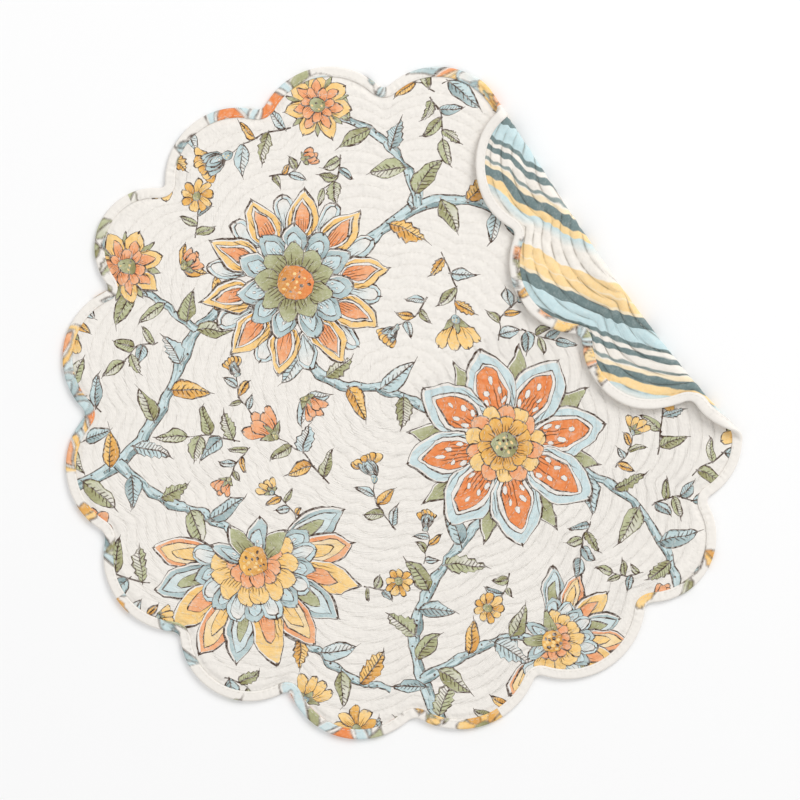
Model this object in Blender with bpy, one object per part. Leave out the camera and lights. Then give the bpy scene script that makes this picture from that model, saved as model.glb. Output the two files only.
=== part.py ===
"""Round quilted placemat with a scalloped edge, one side folded back over its front.

Units are metres, with +Z up and the table at z = 0. The origin is the centre of the mat's circle,
on the table. The mat lies front up. Its upper right is folded back over the front, so that the
striped reverse shows there.

Each piece is first built flat, as a closed loft of rings that follow the scalloped edge. The flat
piece is cut along the lines where the cloth bends, and its points are then laid along the fold.
"""

import math
from typing import NamedTuple

import bmesh
import bpy
from mathutils import Vector

MM = 0.001

# ---------------------------------------------------------------- the outline


class Scallop(NamedTuple):
    """One scallop of the edge and the notch before it, going anticlockwise."""

    notch_deg: float  # where the notch lies, from +X
    notch_mm: float  # the notch's distance from the centre
    crown_mm: float  # the scallop's furthest point from the centre


SCALLOPS = (
    Scallop(3.0, 200.0, 216.0),
    Scallop(25.5, 200.0, 216.0),
    Scallop(48.0, 200.0, 216.0),
    Scallop(70.5, 197.5, 212.0),
    Scallop(93.0, 197.5, 216.0),
    Scallop(115.5, 203.5, 218.0),
    Scallop(138.0, 201.0, 220.0),
    Scallop(159.0, 197.5, 215.0),
    Scallop(182.5, 199.0, 216.0),
    Scallop(204.5, 205.0, 218.5),
    Scallop(226.5, 203.5, 218.0),
    Scallop(249.0, 197.5, 216.0),
    Scallop(272.5, 201.0, 212.0),
    Scallop(296.5, 194.5, 214.0),
    Scallop(320.5, 202.5, 221.5),
    Scallop(342.0, 204.0, 217.5),
)
FIRST_NOTCH = math.radians(SCALLOPS[0].notch_deg)
CROWN_RADIUS = 216 * MM
NOTCH_ROUND = 8 * MM  # how far two scallops are eased into each other at a notch

# ---------------------------------------------------------------- layers, from the table up

GAP = 0.3 * MM
BINDING_CLOTH = 0.6 * MM
BINDING_WIDTH = 6.4 * MM
NOSE_ROUND = 0.7 * MM  # how far the strip's folded edge is rounded back
RIM_CLOTH = 0.5 * MM  # each panel, pressed thin under the binding
BACK_CLOTH = 1.2 * MM
FRONT_GROOVE = 1.2 * MM  # the front panel along a quilting line
FRONT_CREST = 1.9 * MM  # and between two lines
BACK_DENT = 0.6 * MM  # how deep a quilting line lies in the back of the flap

BACK_RIM_LOW = BINDING_CLOTH + GAP
BACK_RIM_HIGH = BACK_RIM_LOW + RIM_CLOTH
FRONT_RIM_LOW = BACK_RIM_HIGH + GAP
FRONT_RIM_HIGH = FRONT_RIM_LOW + RIM_CLOTH
BINDING_INSIDE = FRONT_RIM_HIGH + GAP
BINDING_TOP = BINDING_INSIDE + BINDING_CLOTH
FRONT_LOW = BACK_CLOTH + GAP
CREST = FRONT_LOW + FRONT_CREST
GROOVE = FRONT_LOW + FRONT_GROOVE
NEUTRAL = CREST / 2  # the layer that keeps its length where the mat bends

PANEL_INSET = 1.3 * MM  # from the mat's edge to the panels' edge, inside the binding
RIM_END = 7.2 * MM  # where the pressed rim ends, just inside the binding

# ---------------------------------------------------------------- quilting lines

QUILT_PITCH = 7.4 * MM
QUILT_START = 14 * MM  # the first crest, in from a scallop's crown
QUILT_ROWS = 50  # crests and lines, in turn
ECHO_FADE = 45 * MM  # the scallops fade out of the lines over this distance

# Points per scallop on a row of points, by how far in it lies.
FINE_INSET = 34 * MM
MIDDLE_INSET = 100 * MM
FINE, MIDDLE, COARSE = 8, 4, 2

# ---------------------------------------------------------------- the fold

FOLD_NORMAL = math.radians(34.5)  # points from the centre to the fold
FOLD_REACH = 155.2 * MM  # the folded edge, at its middle
FOLD_HALF = 130 * MM
FOLD_BOW = 5.8 * MM  # both ends reach further out
FOLD_SKEW = 3.0 * MM  # the lower end more, the upper end less
FLAP_AXIS = 156.6 * MM  # the straight line over which the flap is turned
FLAP_SETTLES = 40 * MM  # the run in which the bowed edge gives way to that line
BEND_RADIUS = 3.2 * MM
BEND_STEPS = 8
SLOPE = math.radians(7)  # how the flap comes down from the bend
EASE_RUN = 10 * MM  # and eases out level
REST_GAP = 0.8 * MM  # between the two fronts

OUTWARD = Vector((math.cos(FOLD_NORMAL), math.sin(FOLD_NORMAL)))
ALONG = Vector((math.sin(FOLD_NORMAL), -math.cos(FOLD_NORMAL)))


class Lift(NamedTuple):
    """How high the flap's edge stands off the front, at a place along the fold."""

    along_mm: float
    lift_mm: float


FLAP_LIFTS = (
    Lift(-150, 1.0),
    Lift(-112, 1.6),
    Lift(-62, 0.4),
    Lift(-8, 1.4),
    Lift(38, 0.3),
    Lift(76, 1.0),
    Lift(104, 3.4),
    Lift(150, 1.0),
)
LIFT_RUN = 42 * MM
WRINKLE_ALONG = -82 * MM
WRINKLE_WIDTH = 9 * MM
WRINKLE_HEIGHT = 2.2 * MM
WRINKLE_TAKES = 2.2 * MM  # the cloth that it takes from the upper end of the flap

FLAT_MARGIN = 1 * MM  # the resting face stops this far short of the bend
CUT_NEARNESS = 0.2 * MM  # a point this near a cut counts as on it


def smooth(value):
    """0 up to 0, 1 from 1, and an even curve between."""
    value = min(max(value, 0), 1)
    return value * value * (3 - 2 * value)


# ---------------------------------------------------------------- outline functions


def polar(radius, angle):
    return Vector((radius * math.cos(angle), radius * math.sin(angle)))


def circle_through(first, middle, last):
    """Centre and radius of the circle through three points."""
    a = middle - first
    b = last - first
    across = 2 * (a.x * b.y - a.y * b.x)
    centre = first + Vector((
        (b.y * a.length_squared - a.y * b.length_squared) / across,
        (a.x * b.length_squared - b.x * a.length_squared) / across,
    ))
    return centre, (first - centre).length


def notch_angle(index):
    turns, place = divmod(index, len(SCALLOPS))
    return math.radians(SCALLOPS[place].notch_deg) + math.tau * turns


def scallop_circle(index):
    here = SCALLOPS[index]
    after = SCALLOPS[(index + 1) % len(SCALLOPS)]
    sharp = NOTCH_ROUND / 4  # the rounding fills the notch by this much
    start, end = notch_angle(index), notch_angle(index + 1)
    return circle_through(
        polar(here.notch_mm * MM - sharp, start),
        polar(here.crown_mm * MM, (start + end) / 2),
        polar(after.notch_mm * MM - sharp, end),
    )


CIRCLES = [scallop_circle(i) for i in range(len(SCALLOPS))]


def reach_of(circle, angle):
    """Distance from the mat's centre to a scallop's circle, in one direction."""
    centre, radius = circle
    towards = centre.x * math.cos(angle) + centre.y * math.sin(angle)
    across = centre.length_squared - towards**2
    return towards + math.sqrt(max(radius**2 - across, 0))


def edge_radius(angle):
    """The scalloped edge's distance from the centre."""
    angle = FIRST_NOTCH + (angle - FIRST_NOTCH) % math.tau
    count = len(SCALLOPS)
    own = max(i for i in range(count) if notch_angle(i) <= angle + 1e-9)
    inside = reach_of(CIRCLES[own], angle)
    beside = max(reach_of(CIRCLES[(own + k) % count], angle) for k in (-1, 1))
    shared = max(NOTCH_ROUND - abs(inside - beside), 0) / NOTCH_ROUND
    return max(inside, beside) + shared**2 * NOTCH_ROUND / 4


def edge_point(angle, inset):
    """The point this far in from the edge, square to it."""
    turn = math.radians(0.05)
    before = polar(edge_radius(angle - turn), angle - turn)
    after = polar(edge_radius(angle + turn), angle + turn)
    run = (after - before).normalized()
    return (before + after) / 2 - Vector((run.y, -run.x)) * inset


def echo_point(angle, inset):
    """A point on a quilting line, which follows the scallops less the further in it lies."""
    depth = (edge_radius(angle) - CROWN_RADIUS) * math.exp(-inset / ECHO_FADE)
    return polar(CROWN_RADIUS - inset + depth, angle)


def column_angles(per_scallop):
    for index in range(len(SCALLOPS)):
        start, end = notch_angle(index), notch_angle(index + 1)
        for step in range(per_scallop):
            yield start + (end - start) * step / per_scallop


def columns_at(inset):
    if inset < FINE_INSET:
        return FINE
    return MIDDLE if inset < MIDDLE_INSET else COARSE


# ---------------------------------------------------------------- fold functions


def fold_reach(along):
    """How far out the folded edge lies, at a place along the fold."""
    place = min(max(along / FOLD_HALF, -1.1), 1.1)
    return FOLD_REACH + FOLD_BOW * place**2 + FOLD_SKEW * place**3


def bend_start(along):
    return fold_reach(along) - BEND_RADIUS - NEUTRAL


def fold_runs():
    """The cloth's path from where it leaves the table: a length and a turn for each run."""
    turn = math.pi + SLOPE
    top = NEUTRAL + BEND_RADIUS * (1 - math.cos(turn))
    ease_radius = EASE_RUN / SLOPE
    level = 2 * CREST + REST_GAP - NEUTRAL
    ease_drop = ease_radius * (1 - math.cos(SLOPE))
    straight = (top - level - ease_drop) / math.sin(SLOPE)
    return (BEND_RADIUS * turn, turn), (straight, 0), (EASE_RUN, -SLOPE)


FOLD_RUNS = fold_runs()
BEND_LENGTH = FOLD_RUNS[0][0]
SLOPE_END = BEND_LENGTH + FOLD_RUNS[1][0]
CUTS = [BEND_LENGTH * step / BEND_STEPS for step in range(BEND_STEPS + 1)]
CUTS += [SLOPE_END, SLOPE_END + EASE_RUN / 2, SLOPE_END + EASE_RUN]


def walk(run):
    """Place and heading of the neutral layer, this far along the cloth from the bend's start."""
    x, z, heading = min(run, 0), NEUTRAL, 0
    left = max(run, 0)
    for length, turn in (*FOLD_RUNS, (math.inf, 0)):
        part = min(left, length)
        left -= part
        if turn:
            radius = length / turn
            ahead = heading + part / radius
            x += radius * (math.sin(ahead) - math.sin(heading))
            z += radius * (math.cos(heading) - math.cos(ahead))
            heading = ahead
        else:
            x += part * math.cos(heading)
            z += part * math.sin(heading)
    return x, z, heading


def edge_lift(along):
    """The flap's lift at its edge, eased from one row of FLAP_LIFTS to the next."""
    for low, high in zip(FLAP_LIFTS, FLAP_LIFTS[1:]):
        if along <= high.along_mm * MM:
            share = smooth((along / MM - low.along_mm) / (high.along_mm - low.along_mm))
            return (low.lift_mm + (high.lift_mm - low.lift_mm) * share) * MM
    return FLAP_LIFTS[-1].lift_mm * MM


def fold(along, run, height):
    """The folded place of a flat point: along the fold, past the bend's start, above the table."""
    x, z, heading = walk(run)
    out = bend_start(along) + x - (height - NEUTRAL) * math.sin(heading)
    up = z + (height - NEUTRAL) * math.cos(heading)
    axis = FLAP_AXIS + WRINKLE_TAKES * smooth((WRINKLE_ALONG / 2 - along) / abs(WRINKLE_ALONG))
    past = run - BEND_LENGTH
    out += 2 * (axis - fold_reach(along)) * smooth(past / FLAP_SETTLES)
    ridge = math.exp(-((along - WRINKLE_ALONG) / WRINKLE_WIDTH) ** 2)
    up += edge_lift(along) * smooth(past / LIFT_RUN)
    up += WRINKLE_HEIGHT * ridge * smooth(past / EASE_RUN)
    flat = OUTWARD * out + ALONG * along
    return Vector((flat.x, flat.y, up))


# ---------------------------------------------------------------- building


def add_ring(bm, point_at, inset, per_scallop, height_at):
    """One row of points right round the mat."""
    ring = []
    for angle in column_angles(per_scallop):
        point = point_at(angle, inset)
        ring.append(bm.verts.new((point.x, point.y, height_at(point))))
    return ring


def bridge(bm, first, second):
    """Faces between two rows, of which one may have twice the points of the other."""
    if len(first) == len(second):
        for i in range(len(first)):
            j = (i + 1) % len(first)
            bm.faces.new((first[i], first[j], second[j], second[i]))
        return
    fine, coarse = (first, second) if len(first) > len(second) else (second, first)
    for i in range(len(coarse)):
        j = (i + 1) % len(coarse)
        start, middle, end = (fine[(2 * i + k) % len(fine)] for k in range(3))
        bm.faces.new((start, middle, coarse[i]))
        bm.faces.new((middle, end, coarse[j]))
        bm.faces.new((middle, coarse[j], coarse[i]))


def close_centre(bm, ring, height):
    middle = bm.verts.new((0, 0, height))
    for i in range(len(ring)):
        bm.faces.new((ring[i], ring[(i + 1) % len(ring)], middle))


def quilted_rings(bm, height_at):
    """Rows of crests and lines from the rim to the centre; height_at takes a point and a row."""
    rings = []
    for row in range(QUILT_ROWS):
        inset = QUILT_START + row * QUILT_PITCH / 2
        rings.append(add_ring(bm, echo_point, inset, columns_at(inset),
                              lambda point, row=row: height_at(point, row)))
    return rings


def build_panel(rim_outer, rim_inner, field_inner, outer_height):
    """A panel as a closed loft: its quilted outer face, its rim and its plain inner face."""
    bm = bmesh.new()
    outer = [
        add_ring(bm, edge_point, PANEL_INSET, FINE, lambda point: rim_outer),
        add_ring(bm, edge_point, RIM_END, FINE, lambda point: rim_outer),
        *quilted_rings(bm, outer_height),
    ]
    inner = [
        add_ring(bm, edge_point, PANEL_INSET, FINE, lambda point: rim_inner),
        add_ring(bm, edge_point, RIM_END, FINE, lambda point: rim_inner),
        add_ring(bm, echo_point, QUILT_START, MIDDLE, lambda point: field_inner),
        add_ring(bm, echo_point, MIDDLE_INSET, COARSE, lambda point: field_inner),
    ]
    bridge(bm, outer[0], inner[0])
    for rings in (outer, inner):
        for first, second in zip(rings, rings[1:]):
            bridge(bm, first, second)
    close_centre(bm, outer[-1], outer_height(Vector((0, 0)), 0))
    close_centre(bm, inner[-1], field_inner)
    return bm


def front_height(point, row):
    return GROOVE if row % 2 else CREST


def back_height(point, row):
    """Flat where the mat rests, and dented along the quilting lines on the flap."""
    past = point.dot(OUTWARD) - bend_start(point.dot(ALONG))
    return BACK_DENT * smooth(past / QUILT_PITCH) if row % 2 else 0


def build_front():
    return build_panel(FRONT_RIM_HIGH, FRONT_RIM_LOW, FRONT_LOW, front_height)


def build_back():
    bm = build_panel(BACK_RIM_LOW, BACK_RIM_HIGH, BACK_CLOTH, back_height)
    resting = [face for face in bm.faces if all(rests(vert.co) for vert in face.verts)]
    bmesh.ops.dissolve_faces(bm, faces=resting, use_verts=True)
    return bm


def rests(place):
    """Whether a flat point lies on the table, clear of the bend."""
    past = place.xy.dot(OUTWARD) - bend_start(place.xy.dot(ALONG))
    return place.z == 0 and past < -FLAT_MARGIN


def build_binding():
    """A strip folded round the edge: a section of insets and heights, led round the scallops."""
    section = (
        (BINDING_WIDTH, BINDING_TOP),
        (NOSE_ROUND, BINDING_TOP),
        (0, BINDING_TOP / 2),
        (NOSE_ROUND, 0),
        (BINDING_WIDTH, 0),
        (BINDING_WIDTH, BINDING_CLOTH),
        (PANEL_INSET - GAP, BINDING_CLOTH),
        (BINDING_CLOTH, BINDING_TOP / 2),
        (PANEL_INSET - GAP, BINDING_INSIDE),
        (BINDING_WIDTH, BINDING_INSIDE),
    )
    bm = bmesh.new()
    rings = [
        add_ring(bm, edge_point, inset, FINE, lambda point, height=height: height)
        for inset, height in section
    ]
    for first, second in zip(rings, rings[1:] + rings[:1]):
        bridge(bm, first, second)
    return bm


def lay_folded(bm):
    """Cuts a flat piece along the bend's lines and lays its points along the fold."""
    for vert in bm.verts:
        along = vert.co.xy.dot(ALONG)
        vert.co = (along, vert.co.xy.dot(OUTWARD) - bend_start(along), vert.co.z)
    for cut in CUTS:
        everything = bm.verts[:] + bm.edges[:] + bm.faces[:]
        bmesh.ops.bisect_plane(bm, geom=everything, dist=CUT_NEARNESS,
                               plane_co=(0, cut, 0), plane_no=(0, 1, 0))
    bmesh.ops.triangulate(bm, faces=bm.faces[:])
    for vert in bm.verts:
        vert.co = fold(*vert.co)


# ---------------------------------------------------------------- objects and materials


def cloth_material(name, colour, roughness):
    material = bpy.data.materials.new(name)
    material.use_nodes = True
    shader = material.node_tree.nodes["Principled BSDF"]
    shader.inputs["Base Color"].default_value = (*colour, 1)
    shader.inputs["Roughness"].default_value = roughness
    shader.inputs["Metallic"].default_value = 0
    material.diffuse_color = (*colour, 1)
    return material


def add_piece(name, bm, material, collection):
    lay_folded(bm)
    bmesh.ops.recalc_face_normals(bm, faces=bm.faces[:])
    mesh = bpy.data.meshes.new(name)
    bm.to_mesh(mesh)
    bm.free()
    mesh.materials.append(material)
    piece = bpy.data.objects.new(name, mesh)
    collection.objects.link(piece)
    return piece


def clear_scene():
    for item in list(bpy.data.objects):
        bpy.data.objects.remove(item, do_unlink=True)


def main():
    clear_scene()
    collection = bpy.data.collections.new("Placemat")
    bpy.context.scene.collection.children.link(collection)
    print_cloth = cloth_material("floral_print", (0.86, 0.80, 0.72), 0.85)
    striped_cloth = cloth_material("striped_cloth", (0.62, 0.72, 0.72), 0.85)
    bias_strip = cloth_material("bias_strip", (0.88, 0.83, 0.76), 0.8)
    add_piece("front_panel", build_front(), print_cloth, collection)
    add_piece("back_panel", build_back(), striped_cloth, collection)
    add_piece("binding", build_binding(), bias_strip, collection)


main()
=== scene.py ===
"""Looks of a round quilted placemat with a scalloped edge, one side folded back over its front.

Lengths are millimetres on the cloth, and each mesh is made in metres. Every piece is first worked
out flat, as (x, y, height), with the mat's centre at (0, 0). Fold.lay then puts the flat points
where the folded cloth has them. The outline, layers and fold repeat the sizes of the solids.
"""

import logging
import math
from collections.abc import Callable, Sequence
from dataclasses import dataclass, field
from enum import Enum
from typing import NamedTuple

import bpy
import numpy as np
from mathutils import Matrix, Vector
from mathutils.geometry import delaunay_2d_cdt
from mathutils.kdtree import KDTree


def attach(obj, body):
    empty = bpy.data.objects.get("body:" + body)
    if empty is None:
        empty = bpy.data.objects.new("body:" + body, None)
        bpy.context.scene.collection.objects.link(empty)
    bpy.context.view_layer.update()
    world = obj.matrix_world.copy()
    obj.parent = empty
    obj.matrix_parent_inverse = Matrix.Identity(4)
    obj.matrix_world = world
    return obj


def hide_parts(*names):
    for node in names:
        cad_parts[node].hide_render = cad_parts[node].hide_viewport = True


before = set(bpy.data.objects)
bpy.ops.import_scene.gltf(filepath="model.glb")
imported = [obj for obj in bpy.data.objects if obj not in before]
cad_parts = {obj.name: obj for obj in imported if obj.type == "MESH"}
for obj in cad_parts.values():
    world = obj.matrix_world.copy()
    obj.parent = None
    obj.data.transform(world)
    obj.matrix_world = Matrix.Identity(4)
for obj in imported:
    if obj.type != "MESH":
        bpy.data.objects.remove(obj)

log = logging.getLogger("placemat")

MM = 0.001
BODY = "root"
FLAT_SIZE = 432.0  # across the mat's crowns before it was folded
QUILT_PITCH = 7.4  # from one stitched line to the next
MAP_GAP = 0.05  # left bare at the borders of a mapped row

Array = np.ndarray
Heights = Callable[[Array], Array]  # a face's heights at flat points
Object = bpy.types.Object
Material = bpy.types.Material
Node = bpy.types.Node
NodeTree = bpy.types.NodeTree
Socket = bpy.types.NodeSocket
Colour = tuple[float, float, float]
Place = Sequence[float]


# ---- small helpers


def smooth(value: Array) -> Array:
    """0 up to 0, 1 from 1, and an even curve between."""
    value = np.clip(value, 0, 1)
    return value * value * (3 - 2 * value)


def linear(colour: Sequence[float]) -> Array:
    """A colour of 0 to 255 as linear light.

    Args:
        colour: Red, green and blue.

    Returns:
        Three values from 0 to 1.
    """
    share = np.asarray(colour, float) / 255
    return np.where(share <= 0.04045, share / 12.92, ((share + 0.055) / 1.055) ** 2.4)


def direction(degrees: float) -> Array:
    """The unit vector at this angle."""
    return np.array([math.cos(math.radians(degrees)), math.sin(math.radians(degrees))])


def ripple(points: Array, size: float, seed: int) -> Array:
    """Smooth uneven waves between about -1 and 1.

    Args:
        points: Places, one a row, of two values.
        size: The usual distance from one wave to the next.
        seed: Chooses the waves.

    Returns:
        One value for each place.
    """
    waves, peak = 7, 3.2
    rng = np.random.default_rng(seed)
    total = np.zeros(len(points))
    for _ in range(waves):
        turn = rng.uniform(0, math.tau)
        step = math.tau / (size * rng.uniform(0.75, 1.5))
        phase = rng.uniform(0, math.tau)
        total += np.sin((points[:, 0] * math.cos(turn) + points[:, 1] * math.sin(turn)) * step + phase)
    return total / peak


def search_tree(points: Array) -> KDTree:
    """A tree that finds the nearest of flat points.

    Args:
        points: The points.

    Returns:
        The tree.
    """
    tree = KDTree(len(points))
    for i, (x, y) in enumerate(points):
        tree.insert((x, y, 0), i)
    tree.balance()
    return tree


# ---- outline, layers and fold


class Scallop(NamedTuple):
    """One scallop of the edge and the notch before it, going anticlockwise."""

    notch_deg: float
    notch: float
    crown: float


SCALLOPS = (
    Scallop(3.0, 200.0, 216.0),
    Scallop(25.5, 200.0, 216.0),
    Scallop(48.0, 200.0, 216.0),
    Scallop(70.5, 197.5, 212.0),
    Scallop(93.0, 197.5, 216.0),
    Scallop(115.5, 203.5, 218.0),
    Scallop(138.0, 201.0, 220.0),
    Scallop(159.0, 197.5, 215.0),
    Scallop(182.5, 199.0, 216.0),
    Scallop(204.5, 205.0, 218.5),
    Scallop(226.5, 203.5, 218.0),
    Scallop(249.0, 197.5, 216.0),
    Scallop(272.5, 201.0, 212.0),
    Scallop(296.5, 194.5, 214.0),
    Scallop(320.5, 202.5, 221.5),
    Scallop(342.0, 204.0, 217.5),
)


@dataclass
class Outline:
    """The mat's scalloped edge, and the quilting lines that echo it."""

    crown_radius: float = 216.0
    notch_round: float = 8.0
    echo_fade: float = 80.0
    samples: int = 6000
    notches: Array = field(init=False)
    centres: Array = field(init=False)
    radii: Array = field(init=False)
    edge_tree: KDTree = field(init=False)

    def __post_init__(self) -> None:
        """Works out each scallop's circle and a search tree of the edge."""
        count = len(SCALLOPS)
        self.notches = np.radians([row.notch_deg for row in SCALLOPS])
        ends = np.append(self.notches, self.notches[0] + math.tau)
        sharp = self.notch_round / 4
        centres = []
        for i, row in enumerate(SCALLOPS):
            after = SCALLOPS[(i + 1) % count]
            first = (row.notch - sharp) * direction(math.degrees(ends[i]))
            crown = row.crown * direction(math.degrees((ends[i] + ends[i + 1]) / 2))
            last = (after.notch - sharp) * direction(math.degrees(ends[i + 1]))
            system = 2 * np.array([crown - first, last - first])
            sides = np.array([crown @ crown - first @ first, last @ last - first @ first])
            centre = np.linalg.solve(system, sides)
            centres.append((*centre, np.linalg.norm(first - centre)))
        table = np.array(centres)
        self.centres, self.radii = table[:, :2], table[:, 2]
        round_once = np.linspace(0, math.tau, self.samples, endpoint=False)
        self.edge_tree = search_tree(self.edge_point(round_once, 0.0))

    def _reach(self, which: Array, angle: Array) -> Array:
        """Distance from the middle to a scallop's circle, in one direction.

        Args:
            which: The scallops' numbers.
            angle: The directions.

        Returns:
            The distances.
        """
        centre = self.centres[which]
        towards = centre[..., 0] * np.cos(angle) + centre[..., 1] * np.sin(angle)
        across = (centre**2).sum(-1) - towards**2
        return towards + np.sqrt(np.maximum(self.radii[which] ** 2 - across, 0))

    def edge_radius(self, angle: Array) -> Array:
        """How far the edge lies from the middle.

        Args:
            angle: The directions.

        Returns:
            The distances.
        """
        first, count = self.notches[0], len(SCALLOPS)
        angle = first + (np.asarray(angle) - first) % math.tau
        own = np.searchsorted(self.notches, angle + 1e-9, side="right") - 1
        inside = self._reach(own, angle)
        beside = np.maximum(self._reach((own - 1) % count, angle), self._reach((own + 1) % count, angle))
        shared = np.maximum(self.notch_round - abs(inside - beside), 0) / self.notch_round
        return np.maximum(inside, beside) + shared**2 * self.notch_round / 4

    def edge_point(self, angle: Array, inset: Array | float) -> Array:
        """The points this far in from the edge, square to it.

        Args:
            angle: The directions.
            inset: How far in.

        Returns:
            Flat points.
        """
        turn = math.radians(0.05)
        before = self.polar(self.edge_radius(angle - turn), angle - turn)
        after = self.polar(self.edge_radius(angle + turn), angle + turn)
        run = after - before
        run /= np.linalg.norm(run, axis=-1, keepdims=True)
        outward = np.stack([run[..., 1], -run[..., 0]], -1)
        return (before + after) / 2 - outward * np.asarray(inset)[..., None]

    def echo_point(self, angle: Array, inset: Array | float) -> Array:
        """Points on the line that echoes the edge this far in."""
        depth = (self.edge_radius(angle) - self.crown_radius) * np.exp(-np.asarray(inset) / self.echo_fade)
        return self.polar(self.crown_radius - inset + depth, angle)

    def echo_inset(self, flat: Array) -> Array:
        """How far in the echo line through each flat point lies.

        Args:
            flat: Flat points.

        Returns:
            One distance for each.
        """
        radius = np.hypot(flat[:, 0], flat[:, 1])
        depth = self.edge_radius(np.arctan2(flat[:, 1], flat[:, 0])) - self.crown_radius
        inset = self.crown_radius - radius
        for _ in range(6):
            fade = np.exp(-inset / self.echo_fade)
            miss = self.crown_radius - inset + depth * fade - radius
            inset += miss / (1 + depth / self.echo_fade * fade)
        return inset

    def edge_inset(self, flat: Array, limit: float = 24.0) -> Array:
        """How far each point lies from the edge.

        Args:
            flat: Flat points.
            limit: The most that is worked out.

        Returns:
            The distances, or the limit further in.
        """
        radius = np.hypot(flat[:, 0], flat[:, 1])
        gap = self.edge_radius(np.arctan2(flat[:, 1], flat[:, 0])) - radius
        inset = np.full(len(flat), limit)
        for i in np.flatnonzero(gap < limit * 1.25):
            inset[i] = min(self.edge_tree.find((flat[i, 0], flat[i, 1], 0))[2], limit)
        return inset

    @staticmethod
    def polar(radius: Array | float, angle: Array) -> Array:
        """Flat points from their distance and angle."""
        return np.stack([radius * np.cos(angle), radius * np.sin(angle)], -1)


# places along the fold, and how high the flap's edge stands off the front there
FLAP_LIFTS = (
    (-150, 1.0), (-112, 1.6), (-62, 0.4), (-8, 1.4), (38, 0.3), (76, 1.0), (104, 3.4), (150, 1.0),
)


@dataclass
class Fold:
    """Where the folded mat has each flat point."""

    normal_deg: float = 34.5
    reach: float = 155.2
    half: float = 130.0
    bow: float = 5.8
    skew: float = 3.0
    axis: float = 156.6
    settles: float = 40.0
    radius: float = 3.2
    slope_deg: float = 7.0
    ease_run: float = 10.0
    rest_gap: float = 0.8
    neutral: float = 1.7
    crest: float = 3.4
    lift_run: float = 42.0
    wrinkle_along: float = -82.0
    wrinkle_width: float = 9.0
    wrinkle_height: float = 2.2
    wrinkle_takes: float = 2.2
    outward: Array = field(init=False)
    sideways: Array = field(init=False)
    runs: list[tuple[float, float]] = field(init=False)

    def __post_init__(self) -> None:
        """Works out the cloth's path over the bend: a length and a turn for each run."""
        self.outward = direction(self.normal_deg)
        self.sideways = direction(self.normal_deg - 90)
        slope = math.radians(self.slope_deg)
        turn = math.pi + slope
        top = self.neutral + self.radius * (1 - math.cos(turn))
        drop = self.ease_run / slope * (1 - math.cos(slope))
        level = 2 * self.crest + self.rest_gap - self.neutral
        straight = (top - level - drop) / math.sin(slope)
        self.runs = [(self.radius * turn, turn), (straight, 0.0), (self.ease_run, -slope)]

    @property
    def bend_length(self) -> float:
        """The cloth's run round the bend."""
        return self.runs[0][0]

    def fold_reach(self, along: Array) -> Array:
        """How far out the folded edge lies."""
        place = np.clip(along / self.half, -1.1, 1.1)
        return self.reach + self.bow * place**2 + self.skew * place**3

    def bend_start(self, along: Array) -> Array:
        """Where the cloth leaves the table."""
        return self.fold_reach(along) - self.radius - self.neutral

    def past_bend_start(self, flat: Array) -> Array:
        """How far past the bend's start each flat point lies."""
        return flat @ self.outward - self.bend_start(flat @ self.sideways)

    def flat_place(self, along: Array, run: Array) -> Array:
        """The flat point at a place along the fold, this far past the bend's start."""
        out = self.bend_start(along) + run
        return out[..., None] * self.outward + along[..., None] * self.sideways

    def _walk(self, run: Array) -> tuple[Array, Array, Array]:
        """Follows the neutral layer over the bend.

        Args:
            run: How far past the bend's start.

        Returns:
            The places out and up, and the headings.
        """
        x, z = np.minimum(run, 0.0), np.full(len(run), self.neutral)
        heading, left = np.zeros(len(run)), np.maximum(run, 0.0)
        for length, turn in (*self.runs, (math.inf, 0.0)):
            part = np.minimum(left, length)
            left = left - part
            if turn:
                bend = length / turn
                ahead = heading + part / bend
                x += bend * (np.sin(ahead) - np.sin(heading))
                z += bend * (np.cos(heading) - np.cos(ahead))
                heading = ahead
            else:
                x += part * np.cos(heading)
                z += part * np.sin(heading)
        return x, z, heading

    @staticmethod
    def _edge_lift(along: Array) -> Array:
        """The flap's lift at its edge.

        Args:
            along: Places along the fold.

        Returns:
            One lift for each.
        """
        places, lifts = np.array(FLAP_LIFTS, float).T
        low = np.clip(np.searchsorted(places, along) - 1, 0, len(places) - 2)
        share = smooth((along - places[low]) / (places[low + 1] - places[low]))
        return lifts[low] + (lifts[low + 1] - lifts[low]) * share

    def lay(self, points: Array) -> Array:
        """Folds flat points.

        Args:
            points: Rows of x, y and height.

        Returns:
            The folded places, also in millimetres.
        """
        flat, height = points[:, :2], points[:, 2]
        along = flat @ self.sideways
        run = flat @ self.outward - self.bend_start(along)
        x, z, heading = self._walk(run)
        out = self.bend_start(along) + x - (height - self.neutral) * np.sin(heading)
        up = z + (height - self.neutral) * np.cos(heading)
        takes = self.wrinkle_takes * smooth((self.wrinkle_along / 2 - along) / abs(self.wrinkle_along))
        past = run - self.bend_length
        out += 2 * (self.axis + takes - self.fold_reach(along)) * smooth(past / self.settles)
        ridge = np.exp(-(((along - self.wrinkle_along) / self.wrinkle_width) ** 2))
        up += self._edge_lift(along) * smooth(past / self.lift_run)
        up += self.wrinkle_height * ridge * smooth(past / self.ease_run)
        place = out[:, None] * self.outward + along[:, None] * self.sideways
        return np.column_stack([place, up])


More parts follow.
